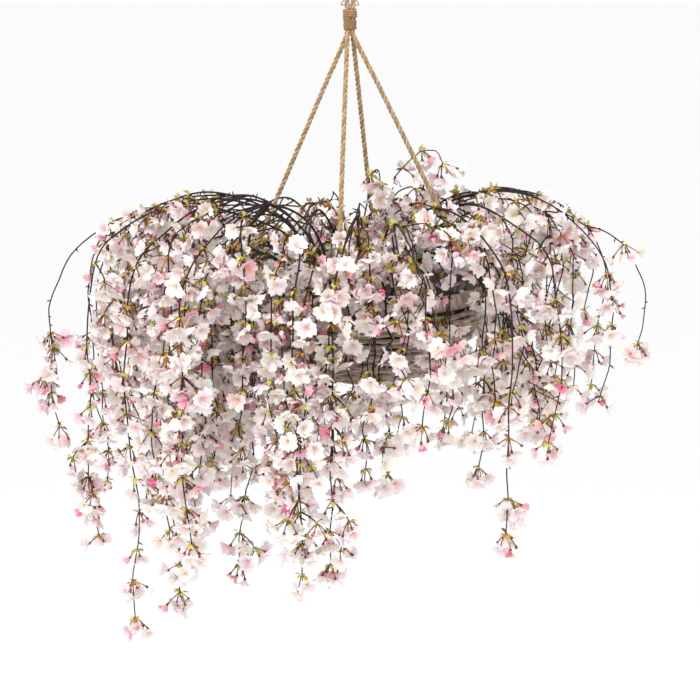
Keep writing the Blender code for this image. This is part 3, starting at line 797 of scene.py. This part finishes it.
# %% Leaf and stalk finish
leaf, leaf_tree, leaf_shader = new_finish("bract_and_stalk", 0.55)
leaf_tone = leaf_tree.nodes.new("ShaderNodeAttribute")
leaf_tone.attribute_name = "tone"
ramp = leaf_tree.nodes.new("ShaderNodeValToRGB")
ramp.color_ramp.elements[0].color = (0.62, 0.58, 0.10, 1.0)
ramp.color_ramp.elements[1].color = (0.075, 0.016, 0.018, 1.0)
for place, shade in ((0.22, (0.43, 0.43, 0.045, 1.0)), (0.42, (0.50, 0.20, 0.035, 1.0)),
                     (0.65, (0.17, 0.045, 0.035, 1.0))):
    ramp.color_ramp.elements.new(place).color = shade
leaf_tree.links.new(leaf_tone.outputs["Fac"], ramp.inputs[0])
leaf_blotch = group_node(leaf_tree, blotches, Size=160.0, Low=0.35, High=0.75)
leaf_colour = mixed(leaf_tree, maths(leaf_tree, "MULTIPLY", leaf_blotch.outputs["Mask"], 0.5), ramp.outputs[0],
                    (0.17, 0.13, 0.03))
leaf_tree.links.new(leaf_colour, leaf_shader.inputs["Base Color"])
leaf_tree.links.new(range_of(leaf_tree, leaf_blotch.outputs["Mask"], 0.0, 1.0, 0.48, 0.68), leaf_shader.inputs["Roughness"])
add_bump(leaf_tree, leaf_shader, leaf_blotch.outputs["Mask"], 0.3, 0.0004)

# %% [markdown]
# A flower is five petals round an axis. A petal is a small grid: rows along it, columns across it.
# Its width swells and closes, its tip has the notch of a cherry petal, and it leans away from the axis
# as far as the flower has opened, so one formula gives open flowers, half-open ones and buds.

# %% Flowers
PETAL_ROWS = np.array([0.0, 0.56, 1.0])
PETAL_COLUMNS = np.array([-1.0, -0.5, 0.0, 0.5, 1.0])
PETAL_WIDTHS = np.array([0.09, 0.42, 0.34])
PETAL_CRUMPLE = np.array([0.0, 0.0006, 0.0013])


def axes_along(axis, rng):
    """Two directions square to each axis, turned by a random angle."""
    helper = np.where(np.abs(axis[:, 2:]) < 0.8, np.array([0.0, 0.0, 1.0]), np.array([1.0, 0.0, 0.0]))
    first = unit(np.cross(axis, helper))
    second = np.cross(axis, first)
    a = rng.uniform(0, 2 * np.pi, (len(axis), 1))
    return np.cos(a) * first + np.sin(a) * second, -np.sin(a) * first + np.cos(a) * second


def add_flowers(shape, blooms, centre, axis, size, opened, pinkness, rng):
    """Petal point = centre + out * across the grid + axis * height, for five petals 72 degrees apart.
    The lean from the axis is small in a bud and grows with opened; the second half of a petal leans more.
    Height also gets a curl of the edges, a twist of the whole petal and a random crumple."""
    many = len(centre)
    first, second = axes_along(axis, rng)
    lean_jitter = rng.normal(0, 0.20, (many, 5)) * (0.3 + 0.7 * opened[:, None])
    rise_low = np.radians(82 - 52 * opened)[:, None] + lean_jitter
    rise_high = np.radians(100 - 104 * opened)[:, None] + lean_jitter + rng.normal(0, 0.24, (many, 5)) * opened[:, None]
    length = (size / 2 * (0.78 + 0.22 * opened))[:, None] * rng.uniform(0.88, 1.08, (many, 5))
    wide = (size / 2 * (0.74 + 0.30 * opened))[:, None] * rng.uniform(0.88, 1.08, (many, 5))
    low, high = length * PETAL_ROWS[1], length * (PETAL_ROWS[2] - PETAL_ROWS[1])
    out = np.stack([np.zeros((many, 5)), low * np.cos(rise_low), low * np.cos(rise_low) + high * np.cos(rise_high)], -1)
    rise = np.stack([np.zeros((many, 5)), low * np.sin(rise_low), low * np.sin(rise_low) + high * np.sin(rise_high)], -1)
    v = PETAL_COLUMNS[None, None, None, :]
    notch = -0.17 * np.exp(-(v / 0.28) ** 2) - 0.20 * v ** 4
    tip = PETAL_ROWS[None, None, :, None] ** 3 * notch * length[..., None, None]
    d = 0.0010 + out[..., None] + tip * np.cos(rise_high)[..., None, None]
    half_width = wide[..., None, None] * PETAL_WIDTHS[:, None]
    curl = rng.normal(0.14, 0.20, (many, 5))[..., None, None] * half_width * v ** 2
    twist = rng.normal(0, 0.26, (many, 5))[..., None, None] * half_width * v
    crumple = rng.normal(0, 1, (many, 5, 3, 5)) * PETAL_CRUMPLE[:, None]
    z = rise[..., None] + tip * np.sin(rise_high)[..., None, None] + curl + twist + crumple
    s = v * half_width
    a = 2 * np.pi * np.arange(5) / 5 + rng.normal(0, 0.10, (many, 5))
    ca, sa = np.cos(a)[..., None, None], np.sin(a)[..., None, None]
    x, y = d * ca - s * sa, d * sa + s * ca
    points = (centre[:, None, None, None] + x[..., None] * first[:, None, None, None]
              + y[..., None] * second[:, None, None, None] + z[..., None] * axis[:, None, None, None])
    grids = many * 5
    g, j, k = np.meshgrid(np.arange(grids), np.arange(2), np.arange(4), indexing="ij")
    at = g * 15 + j * 5 + k
    quads = np.stack([at, at + 5, at + 6, at + 1], axis=-1).reshape(-1, 4)
    across = np.stack([k, k, k + 1, k + 1], axis=-1) / 4
    down = PETAL_ROWS[np.stack([j, j + 1, j + 1, j], axis=-1)]
    shape.add(points.reshape(-1, 3), [(quads, np.stack([across, down], axis=-1).reshape(-1, 4, 2))], 0.0)
    along = np.broadcast_to(PETAL_ROWS[:, None], (many, 5, 3, 5))
    tint = np.broadcast_to(pinkness[:, None, None, None], along.shape)
    shade = np.clip(rng.uniform(0, 1, (many, 1)) + rng.normal(0, 0.14, (many, 5)), 0, 1)
    own = np.broadcast_to(shade[..., None, None], along.shape)
    blooms.append(np.stack([along, tint, own], axis=-1).reshape(-1, 3))
    full = opened > 0.6
    add_stamens(shape, blooms, centre[full], axis[full], first[full], second[full], size[full], rng)


def add_stamens(shape, blooms, centre, axis, first, second, size, rng):
    """A small raised button in the middle and six threads that end in a wider anther."""
    many = len(centre)
    a = 2 * np.pi * np.arange(6) / 6
    ring = (np.cos(a)[:, None] * first[:, None] + np.sin(a)[:, None] * second[:, None])
    button = centre[:, None] + ring * (size * 0.05)[:, None, None] + axis[:, None] * 0.0014
    top = centre[:, None] + axis[:, None] * 0.0030
    at = np.arange(many)[:, None] * 7
    tris = np.stack([at + np.arange(6), at + (np.arange(6) + 1) % 6, np.broadcast_to(at + 6, (many, 6))], axis=-1)
    points = np.concatenate([button, top], axis=1).reshape(-1, 3)
    shape.add(points, [(tris.reshape(-1, 3), np.zeros((many * 6, 3, 2)))], 0.0)
    blooms.append(np.tile((-1.0, 0.0, 0.0), (len(points), 1)))
    a = a + rng.uniform(0, 1, (many, 1))
    spoke = np.cos(a)[..., None] * first[:, None] + np.sin(a)[..., None] * second[:, None]
    flank = -np.sin(a)[..., None] * first[:, None] + np.cos(a)[..., None] * second[:, None]
    long = (size * rng.uniform(0.12, 0.20, many))[:, None, None] * rng.uniform(0.8, 1.2, (many, 6, 1))
    foot = centre[:, None] + spoke * 0.001 + axis[:, None] * 0.002
    direction = spoke * 0.50 + axis[:, None] * 0.85
    kite = np.stack([foot, foot + direction * long * 0.85 + flank * 0.0005, foot + direction * long,
                     foot + direction * long * 0.85 - flank * 0.0005], axis=2).reshape(-1, 3)
    quads = np.arange(many * 6)[:, None] * 4 + np.arange(4)
    shape.add(kite, [(quads, np.zeros((many * 6, 4, 2)))], 0.0)
    blooms.append(np.tile((-0.5, 0.0, 0.0), (len(kite), 1)))


# %% [markdown]
# Under each flower sits a red-brown calyx on a thin stalk, and the stalks of a cluster spring from
# one node of the twig, between a few narrow yellow-green bracts.

# %% Stalks, calyxes and bracts
def add_stalks(shape, start, middle, end, tone):
    """Stalk: quadratic curve through three points. Calyx: its last part, which swells to the flower."""
    t = np.array([0.0, 0.45, 0.76, 0.88, 1.0])[None, :, None]
    line = (1 - t) ** 2 * start[:, None] + 2 * t * (1 - t) * middle[:, None] + t ** 2 * end[:, None]
    radius = np.array([0.00100, 0.00080, 0.00090, 0.0019, 0.0024])
    many = len(start)
    tones = np.stack([tone * 0.8, tone * 0.9, tone, np.full(many, 0.90), np.full(many, 0.75)], axis=1)
    add_bars(shape, line, radius, 4, tone=tones)


def add_bracts(shape, node, ahead, rng, leaves=7):
    """A bract is a diamond folded along its middle: width swells to half way and closes at the tip."""
    many = len(node)
    first, second = axes_along(ahead, rng)
    a = 2 * np.pi * np.arange(leaves) / leaves + rng.normal(0, 0.25, (many, leaves))
    out = np.cos(a)[..., None] * first[:, None] + np.sin(a)[..., None] * second[:, None]
    flank = np.cross(ahead[:, None], out)
    direction = unit(out + ahead[:, None] * rng.normal(0.30, 0.55, (many, leaves, 1)))
    face = np.cross(direction, flank)
    length = rng.uniform(0.0060, 0.0142, (many, leaves, 1))
    wide = length * rng.uniform(0.22, 0.36, (many, leaves, 1))
    foot = node[:, None] + out * 0.0012
    sag = np.array([0.0, 0.0, -1.0]) * length * rng.uniform(0.0, 0.25, (many, leaves, 1))
    middle = foot + direction * length * 0.5 - face * wide * 0.35
    tip = foot + direction * length + sag
    points = np.stack([foot, middle + flank * wide, middle - face * wide * 0.2, middle - flank * wide, tip],
                      axis=2).reshape(-1, 3)
    at = np.arange(many * leaves)[:, None] * 5
    tris = np.concatenate([at + [0, 1, 2], at + [0, 2, 3], at + [1, 4, 2], at + [2, 4, 3]])
    tone = np.clip(rng.uniform(0.0, 0.75, (many, leaves)) ** 1.8 + rng.normal(0.02, 0.08, (many, 1)), 0, 1)
    shape.add(points, [(tris, np.zeros((len(tris), 3, 2)))], np.repeat(tone.ravel(), 5))


# %% [markdown]
# ## Where the twigs run
# Each spray is a dark main stem that rises from the foam, arches over and hangs. Thin twigs leave it
# near the top of the bowl, run beside it as parallel arcs and fall as strands of their own. Drawing
# them by eye would never fill the basket evenly, so they follow the points of the plain solids, and a
# share that steps by the golden ratio varies their lengths without two neighbours being alike.

# %% Paths of the long sprays
def share_for(spray, strand):
    """A share from 0.62 to 1 that varies evenly from strand to strand."""
    return 0.62 + 0.38 * ((spray * GOLDEN + strand * 0.37) % 1.0)


def stem_at(stem, radius):
    """Height of the stem where it is that far from the bowl's axis, on its way out."""
    outward = stem[:int(np.argmax(stem[:, 0])) + 1]
    return float(np.interp(radius, outward[:, 0], outward[:, 2]))


def hanging_twig(stem, fork, start, side, tip, lift):
    """A twig: parallel to the stem from the fork out to its start, then down to its tip."""
    half_way = 0.5 * (fork + start)
    high = stem_at(stem, start) + lift
    return [(fork, 0.0, stem_at(stem, fork)), (half_way, 0.45 * side, stem_at(stem, half_way) + 0.6 * lift),
            (0.82 * start, 0.75 * side, stem_at(stem, 0.82 * start) + 0.85 * lift),
            (start, 0.85 * side, high), (start + 0.014, 0.9 * side, high - 0.024),
            (start + 0.018, side, high - 0.058), (start + 0.015, side, (high - 0.058 + tip) / 2),
            (start + 0.010, side, tip)]


def long_spray(index, rng):
    """Azimuth, stem and twigs, as (distance from axis, sideways, height) points."""
    azimuth = ROPE_TURN + 360.0 / len(LONG_SPRAYS) * (index + 0.5)
    reach, arch, tip, sway = LONG_SPRAYS[index]
    root, shoulder = 0.036 + 0.020 * (index % 2), arch - 0.125
    stem = [(root, 0, FOAM_TOP - 0.030), (root + 0.004, 0, FOAM_TOP + 0.016), (0.120, 0, arch - 0.040),
            (0.55 * reach, 0, arch), (0.84 * reach, 0.5 * sway, arch - 0.040), (reach - 0.004, sway, shoulder),
            (reach, sway, (shoulder + tip) / 2), (reach - 0.008, sway, tip + 0.036)]
    line = curve_through(stem, 200)
    twigs = []
    count = int((reach - 0.045 - 0.305) / 0.062) + 1 if reach > 0.345 else 1
    for k in range(count):
        side = 0.023 * (1 if (index + k) % 2 else -1)
        twigs.append(hanging_twig(line, 0.167 + 0.062 * k, 0.287 + 0.062 * k, side,
                                  arch + (tip - arch) * share_for(index, k) + 0.024, rng.uniform(-0.070, 0.008)))
    for k in range(2 if math.cos(math.radians(azimuth)) > 0.55 else 3):
        side = (0.012 + 0.012 * k) * (1 if (index + k) % 2 else -1)
        start = min(reach - 0.020, 0.262 + 0.052 * k + rng.uniform(-0.012, 0.012))
        drop = arch + (tip - arch) * share_for(index, k + 4) * (0.62 + 0.12 * k)
        twigs.append(hanging_twig(line, start - 0.13, start, -side, drop, rng.uniform(-0.085, 0.008)))
    if math.cos(math.radians(azimuth)) > 0.85:
        for side in (-0.030, 0.004, 0.034):
            out = 0.25 * abs(side) + 0.004 * (index % 3)
            twigs.append([(0.120, 0, RIM_TOP + 0.052), (0.175, 0.4 * side, RIM_TOP + 0.046),
                          (0.212, 0.6 * side, RIM_TOP + 0.004), (0.245 + out, 0.8 * side, RIM_TOP - 0.052),
                          (0.276 + out, side, RIM_TOP - 0.116), (0.290 + out, side, RIM_TOP - 0.180),
                          (0.292 + out, side, 0.55 * tip - 0.30)])
    return azimuth, stem, twigs


# %% Paths of the short and crown sprays
def short_spray(index, rng):
    azimuth = ROPE_TURN + 360.0 / len(SHORT_TIPS) * (index + 0.5)
    tip = SHORT_TIPS[index]
    side = 0.022 * (1 if index % 2 else -1)
    low = RIM_TOP - 0.045
    stem = [(0.084, 0, FOAM_TOP - 0.030), (0.090, 0, FOAM_TOP + 0.016), (0.135, 0, RIM_TOP + 0.040),
            (0.185, 0.3 * side, RIM_TOP + 0.052), (0.224, 0.8 * side, RIM_TOP + 0.020), (0.236, side, low),
            (0.240, side, (low + tip) / 2), (0.236, side, tip + 0.028)]
    twigs = []
    for k, share in enumerate((share_for(index, 2), 0.75 * share_for(index, 5))):
        drop = RIM_TOP + (tip - RIM_TOP) * share + 0.028
        s = -side if k == 0 else 0.15 * side
        out = 0.012 * k
        twigs.append([(0.135, 0, RIM_TOP + 0.040), (0.182, -0.1 * side + 0.3 * s, RIM_TOP + 0.060),
                      (0.205 + out, 0.7 * s, RIM_TOP + 0.040), (0.222 + out, 0.9 * s, RIM_TOP + 0.010),
                      (0.228 + out, s, RIM_TOP - 0.040), (0.226 + out, s, (RIM_TOP - 0.040 + drop) / 2),
                      (0.220 + out, s, drop)])
    return azimuth, stem, twigs


def crown_spray(index, rng):
    azimuth = ROPE_TURN + 36.0 + 90.0 * index
    reach, arch = CROWN_SPRAYS[index]
    stem = [(0.014, 0, FOAM_TOP - 0.030), (0.016, 0, FOAM_TOP + 0.016), (0.30 * reach, 0, arch - 0.095),
            (0.58 * reach, 0, arch - 0.018), (0.86 * reach, 0, arch), (reach, 0, arch - 0.012)]
    twigs = []
    for k, side in enumerate((0.020, -0.030, 0.045, -0.010)):
        foot = arch - 0.095 - 0.022 * k
        twigs.append([(0.30 * reach - 0.006 * k, 0, foot), (0.50 * reach, 0.4 * side, foot + 0.030),
                      (0.78 * reach, 0.8 * side, foot + 0.038), (reach, side, foot + 0.012),
                      (reach + 0.006, 1.1 * side, foot - 0.030)])
    return azimuth, stem, twigs


# %% [markdown]
# ## Growing a spray
# The last step puts flowers on the twigs. Nodes come every 45 to 55 mm. At a node, two to six stalks
# hang like the ribs of an umbrella, because blossoms are heavy and their stalks are soft. Most flowers
# are open and nearly white, a few are pink, and the half-open ones and buds are the deepest pink.
# Every random number comes from a generator with the spray's own seed.

# %% Nodes along a twig
def wander(count, size, rng):
    """A sideways swing that grows from nothing at the root: three slow sine waves in each direction,
    and small straight-sided kinks like those a twig has at its nodes."""
    t = np.linspace(0, 1, count)
    waves = np.sin(2 * np.pi * (t[:, None, None] * np.array([1.3, 2.4, 4.3]) + rng.uniform(0, 1, (1, 3, 3))))
    swing = size * (waves * np.array([0.6, 0.35, 0.16]) * rng.normal(0, 1, (1, 3, 3))).sum(-1)
    kinks = rng.normal(0, KINK, (count // 4 + 2, 3))
    swing += np.stack([np.interp(t * (len(kinks) - 1), np.arange(len(kinks)), kinks[:, k]) for k in range(3)], axis=-1)
    return swing * np.clip(2.2 * t[:, None] - 0.4, 0, 1)


def nodes_on(line, first, step, rng):
    """Places and directions of the nodes: equal steps from first on, each moved a little."""
    length = line_length(line)
    count = max(1, int((length - first) / step) + 1)
    places = length - step * np.arange(count)[::-1]
    places = np.clip(places + rng.normal(0, 0.004, count) * (np.arange(count) < count - 1), 0, length)
    along = np.linspace(0, length, len(line))
    ahead = unit(np.gradient(line, axis=0))
    node, direction = (np.stack([np.interp(places, along, values[:, k]) for k in range(3)], axis=-1)
                       for values in (line, ahead))
    return node, unit(direction)


def bare_until(azimuth):
    """Distance from the axis up to which the stems are bare: far on the left, short at the front."""
    return float(np.interp(azimuth % 360, (0, 60, 100, 150, 185, 215, 252, 272, 360),
                           (0.17, 0.19, 0.21, 0.24, 0.25, 0.25, 0.24, 0.12, 0.17)))


def clear_view(node, rng):
    """Which nodes to keep: few where the bowl and the stems show at the right, none on the outermost bends and
    none so deep in the bowl that blossoms would sink into the foam."""
    x, y, z = node.T
    wall = (x > 0.005) & (x < 0.125) & (y < -0.1) & (z > -0.560) & (z < -0.470)
    rim = (x >= 0.090) & (x < 0.205) & (y < 0.02) & (z > -0.485) & (z < -0.400) & ~wall
    reach = np.hypot(x - AXIS_X, y)
    stems = (x >= 0.195) & (x < 0.285) & (y < 0.12) & (z > -0.555) & (z < -0.430)
    never = ((reach > 0.425) & (z > -0.50)) | ((reach < 0.185) & (z < -0.425))
    return rng.uniform(0, 1, len(node)) > 0.70 * wall + 0.80 * rim + 0.50 * stems + never


def grow_clusters(petals, blooms, greens, node, ahead, fullness, rng):
    """Stalks and flowers for every node; fullness is the mean number of flowers."""
    counts = np.clip(rng.poisson(fullness, len(node)), 2, 6)
    which = np.repeat(np.arange(len(node)), counts)
    many = len(which)
    order = np.arange(many) - np.repeat(np.cumsum(counts) - counts, counts)
    hang = unit(0.30 * ahead + (0.0, 0.0, -0.80))
    first, second = axes_along(hang, rng)
    start_angle = np.repeat(rng.uniform(0, 6.28, len(node)), counts)
    a = 2 * np.pi * (order / counts[which]) + rng.normal(0, 0.35, many) + start_angle
    spread = np.cos(a)[:, None] * first[which] + np.sin(a)[:, None] * second[which]
    open_angle = np.radians(rng.uniform(8, 66, many))[:, None]
    direction = np.cos(open_angle) * hang[which] + np.sin(open_angle) * spread
    length = rng.uniform(0.015, 0.028, (many, 1))
    start = node[which] + spread * 0.0012
    end = start + direction * length
    middle = start + direction * length * 0.5 + spread * length * 0.12
    outward = unit((end - (AXIS_X, 0.0, 0.0)) * (1.0, 1.0, 0.0))
    axis = unit(0.80 * direction + 0.34 * outward + 0.42 * rng.normal(0, 1, (many, 3)))
    kind = rng.uniform(0, 1, many)
    opened = np.select([kind < 0.80, kind < 0.91], [rng.uniform(0.58, 1.0, many), rng.uniform(0.30, 0.5, many)],
                       rng.uniform(0.02, 0.15, many))
    hue = rng.uniform(0, 1, many)
    pinkness = np.select([hue < 0.86, hue < 0.980], [rng.uniform(0.0, 0.11, many), rng.uniform(0.11, 0.30, many)],
                         rng.uniform(0.35, 0.70, many))
    pinkness = np.where((opened < 0.55) & (hue < 0.68), rng.uniform(0.50, 1.0, many), pinkness)
    size = rng.uniform(0.0330, 0.0395, many) * np.select([opened < 0.2, opened < 0.55], [0.54, 0.76], 1.0)
    stalk_tone = np.where(rng.uniform(0, 1, many) < 0.3, 0.50, rng.uniform(0.65, 1.0, many))
    add_stalks(greens, start, middle, end, stalk_tone)
    add_flowers(petals, blooms, end, axis, size, opened, pinkness, rng)
    add_bracts(greens, node, ahead, rng)
    return many


def grow_spurs(wood, line, step, rng):
    """Short dark spurs with a bud, which stand off the arches."""
    count = max(2, int(line_length(line) / step))
    pick = rng.integers(4, len(line) - 2, count)
    ahead = unit(np.gradient(line, axis=0))[pick]
    first, _ = axes_along(ahead, rng)
    direction = unit(first + 0.5 * ahead)
    t = np.array([0.0, 0.6, 1.0])[None, :, None]
    length = rng.uniform(0.005, 0.010, (count, 1, 1))
    add_bars(wood, line[pick][:, None] + direction[:, None] * length * t, np.array([0.0009, 0.0013, 0.0005]), 3, tone=0.1)


# %% Grow every spray
KINK = 0.0026
flower_total = 0


def grow(name, azimuth, stem, twigs, bare, stem_size, fullness, arch_share, rng):
    """One spray: wood, flowers, and stalks with bracts, as three pieces that stand for its solid."""
    wood, petals, greens, blooms = Shape(), Shape(), Shape(), []
    flowers = 0
    for order, points in enumerate([stem] + twigs):
        r, s, z = np.array(points, float).T
        r = r - PULL_IN * math.sin(math.radians(azimuth)) ** 2 * np.clip((r - 0.15) / 0.12, 0, 1)
        line = curve_through(radial_point(azimuth, r, s, z), 64 if order == 0 else 50)
        line += wander(len(line), 0.008, rng)
        thick = stem_size if order == 0 else 0.0013
        share = np.linspace(0, 1, len(line))
        radius = thick + (0.0009 - thick) * share ** (0.55 if order == 0 else 1.0)
        add_bars(wood, line[None], radius[None], 6 if order == 0 else 4, tone=0.0)
        grow_spurs(wood, line, 0.045, rng)
        reach = np.hypot(line[:, 0] - AXIS_X, line[:, 1])
        first = line_length(line[:max(2, int(np.argmax(reach >= bare)))])
        node, ahead = nodes_on(line, first + 0.02, rng.uniform(0.045, 0.055), rng)
        outside = np.hypot(node[:, 0] - AXIS_X, node[:, 1]) >= bare
        share = np.where(ahead[:, 2] < -0.75, 0.76 if math.cos(math.radians(azimuth)) > 0.55 and r[-1] > 0.25 else 1.0, arch_share)
        keep = outside & (rng.uniform(0, 1, len(node)) < share) & clear_view(node, rng)
        keep[-1] = True
        node, ahead = node[keep], ahead[keep]
        flowers += grow_clusters(petals, blooms, greens, node, ahead, fullness, rng)
        twiglets = rng.uniform(0, 1, len(node)) < 0.38
        twiglets[-1] = False
        if twiglets.any():
            base, along = node[twiglets], ahead[twiglets]
            side, _ = axes_along(along, rng)
            side[:, 2] = np.minimum(side[:, 2], 0.2)
            length = rng.uniform(0.020, 0.042, (len(base), 1))
            end = base + side * length * 0.7 + along * length * 0.6
            t = np.linspace(0, 1, 4)[None, :, None]
            bow = base[:, None] + (end - base)[:, None] * t + side[:, None] * (t * (1 - t)) * length[:, None] * 0.4
            add_bars(wood, bow, np.linspace(0.0011, 0.0008, 4), 4, tone=0.0)
            flowers += grow_clusters(petals, blooms, greens, end, unit(end - base + along * 0.01), 0.7 * fullness, rng)
    wood.finish(f"{name}_wood", bark, "stem", name)
    piece = petals.finish(f"{name}_petals", petal, "blossom", name)
    piece.data.attributes.new("bloom", "FLOAT_VECTOR", "POINT").data.foreach_set(
        "vector", np.concatenate(blooms).astype(np.float32).ravel())
    greens.finish(f"{name}_bracts", leaf, "bract", name)
    return flowers


PULL_IN = 0.020
for index in range(len(LONG_SPRAYS)):
    rng = np.random.default_rng(100 + index)
    azimuth, stem, twigs = long_spray(index, rng)
    fullness = 3.85 - 0.65 * math.cos(math.radians(azimuth)) + 1.2 * (LONG_SPRAYS[index][0] > 0.48)
    flower_total += grow(f"long_spray_{index + 1:02d}", azimuth, stem, twigs, bare_until(azimuth), 0.0025, fullness, 0.5, rng)
for index in range(len(SHORT_TIPS)):
    rng = np.random.default_rng(200 + index)
    azimuth, stem, twigs = short_spray(index, rng)
    flower_total += grow(f"short_spray_{index + 1:02d}", azimuth, stem, twigs, 0.140, 0.0027, 3.8, 0.8, rng)
for index in range(len(CROWN_SPRAYS)):
    rng = np.random.default_rng(300 + index)
    azimuth, stem, twigs = crown_spray(index, rng)
    bare = 0.25 * CROWN_SPRAYS[index][0]
    flower_total += grow(f"crown_spray_{index + 1:02d}", azimuth, stem, twigs, bare, 0.0024, 4.0, 1.0, rng)
print("flowers:", flower_total)

# %% Measure and finish
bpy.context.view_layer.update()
triangles = {o.name: sum(len(p.vertices) - 2 for p in o.data.polygons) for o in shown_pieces() if o.type == "MESH"}
print("triangles:", sum(triangles.values()), "largest piece:", max(triangles, key=triangles.get), max(triangles.values()))
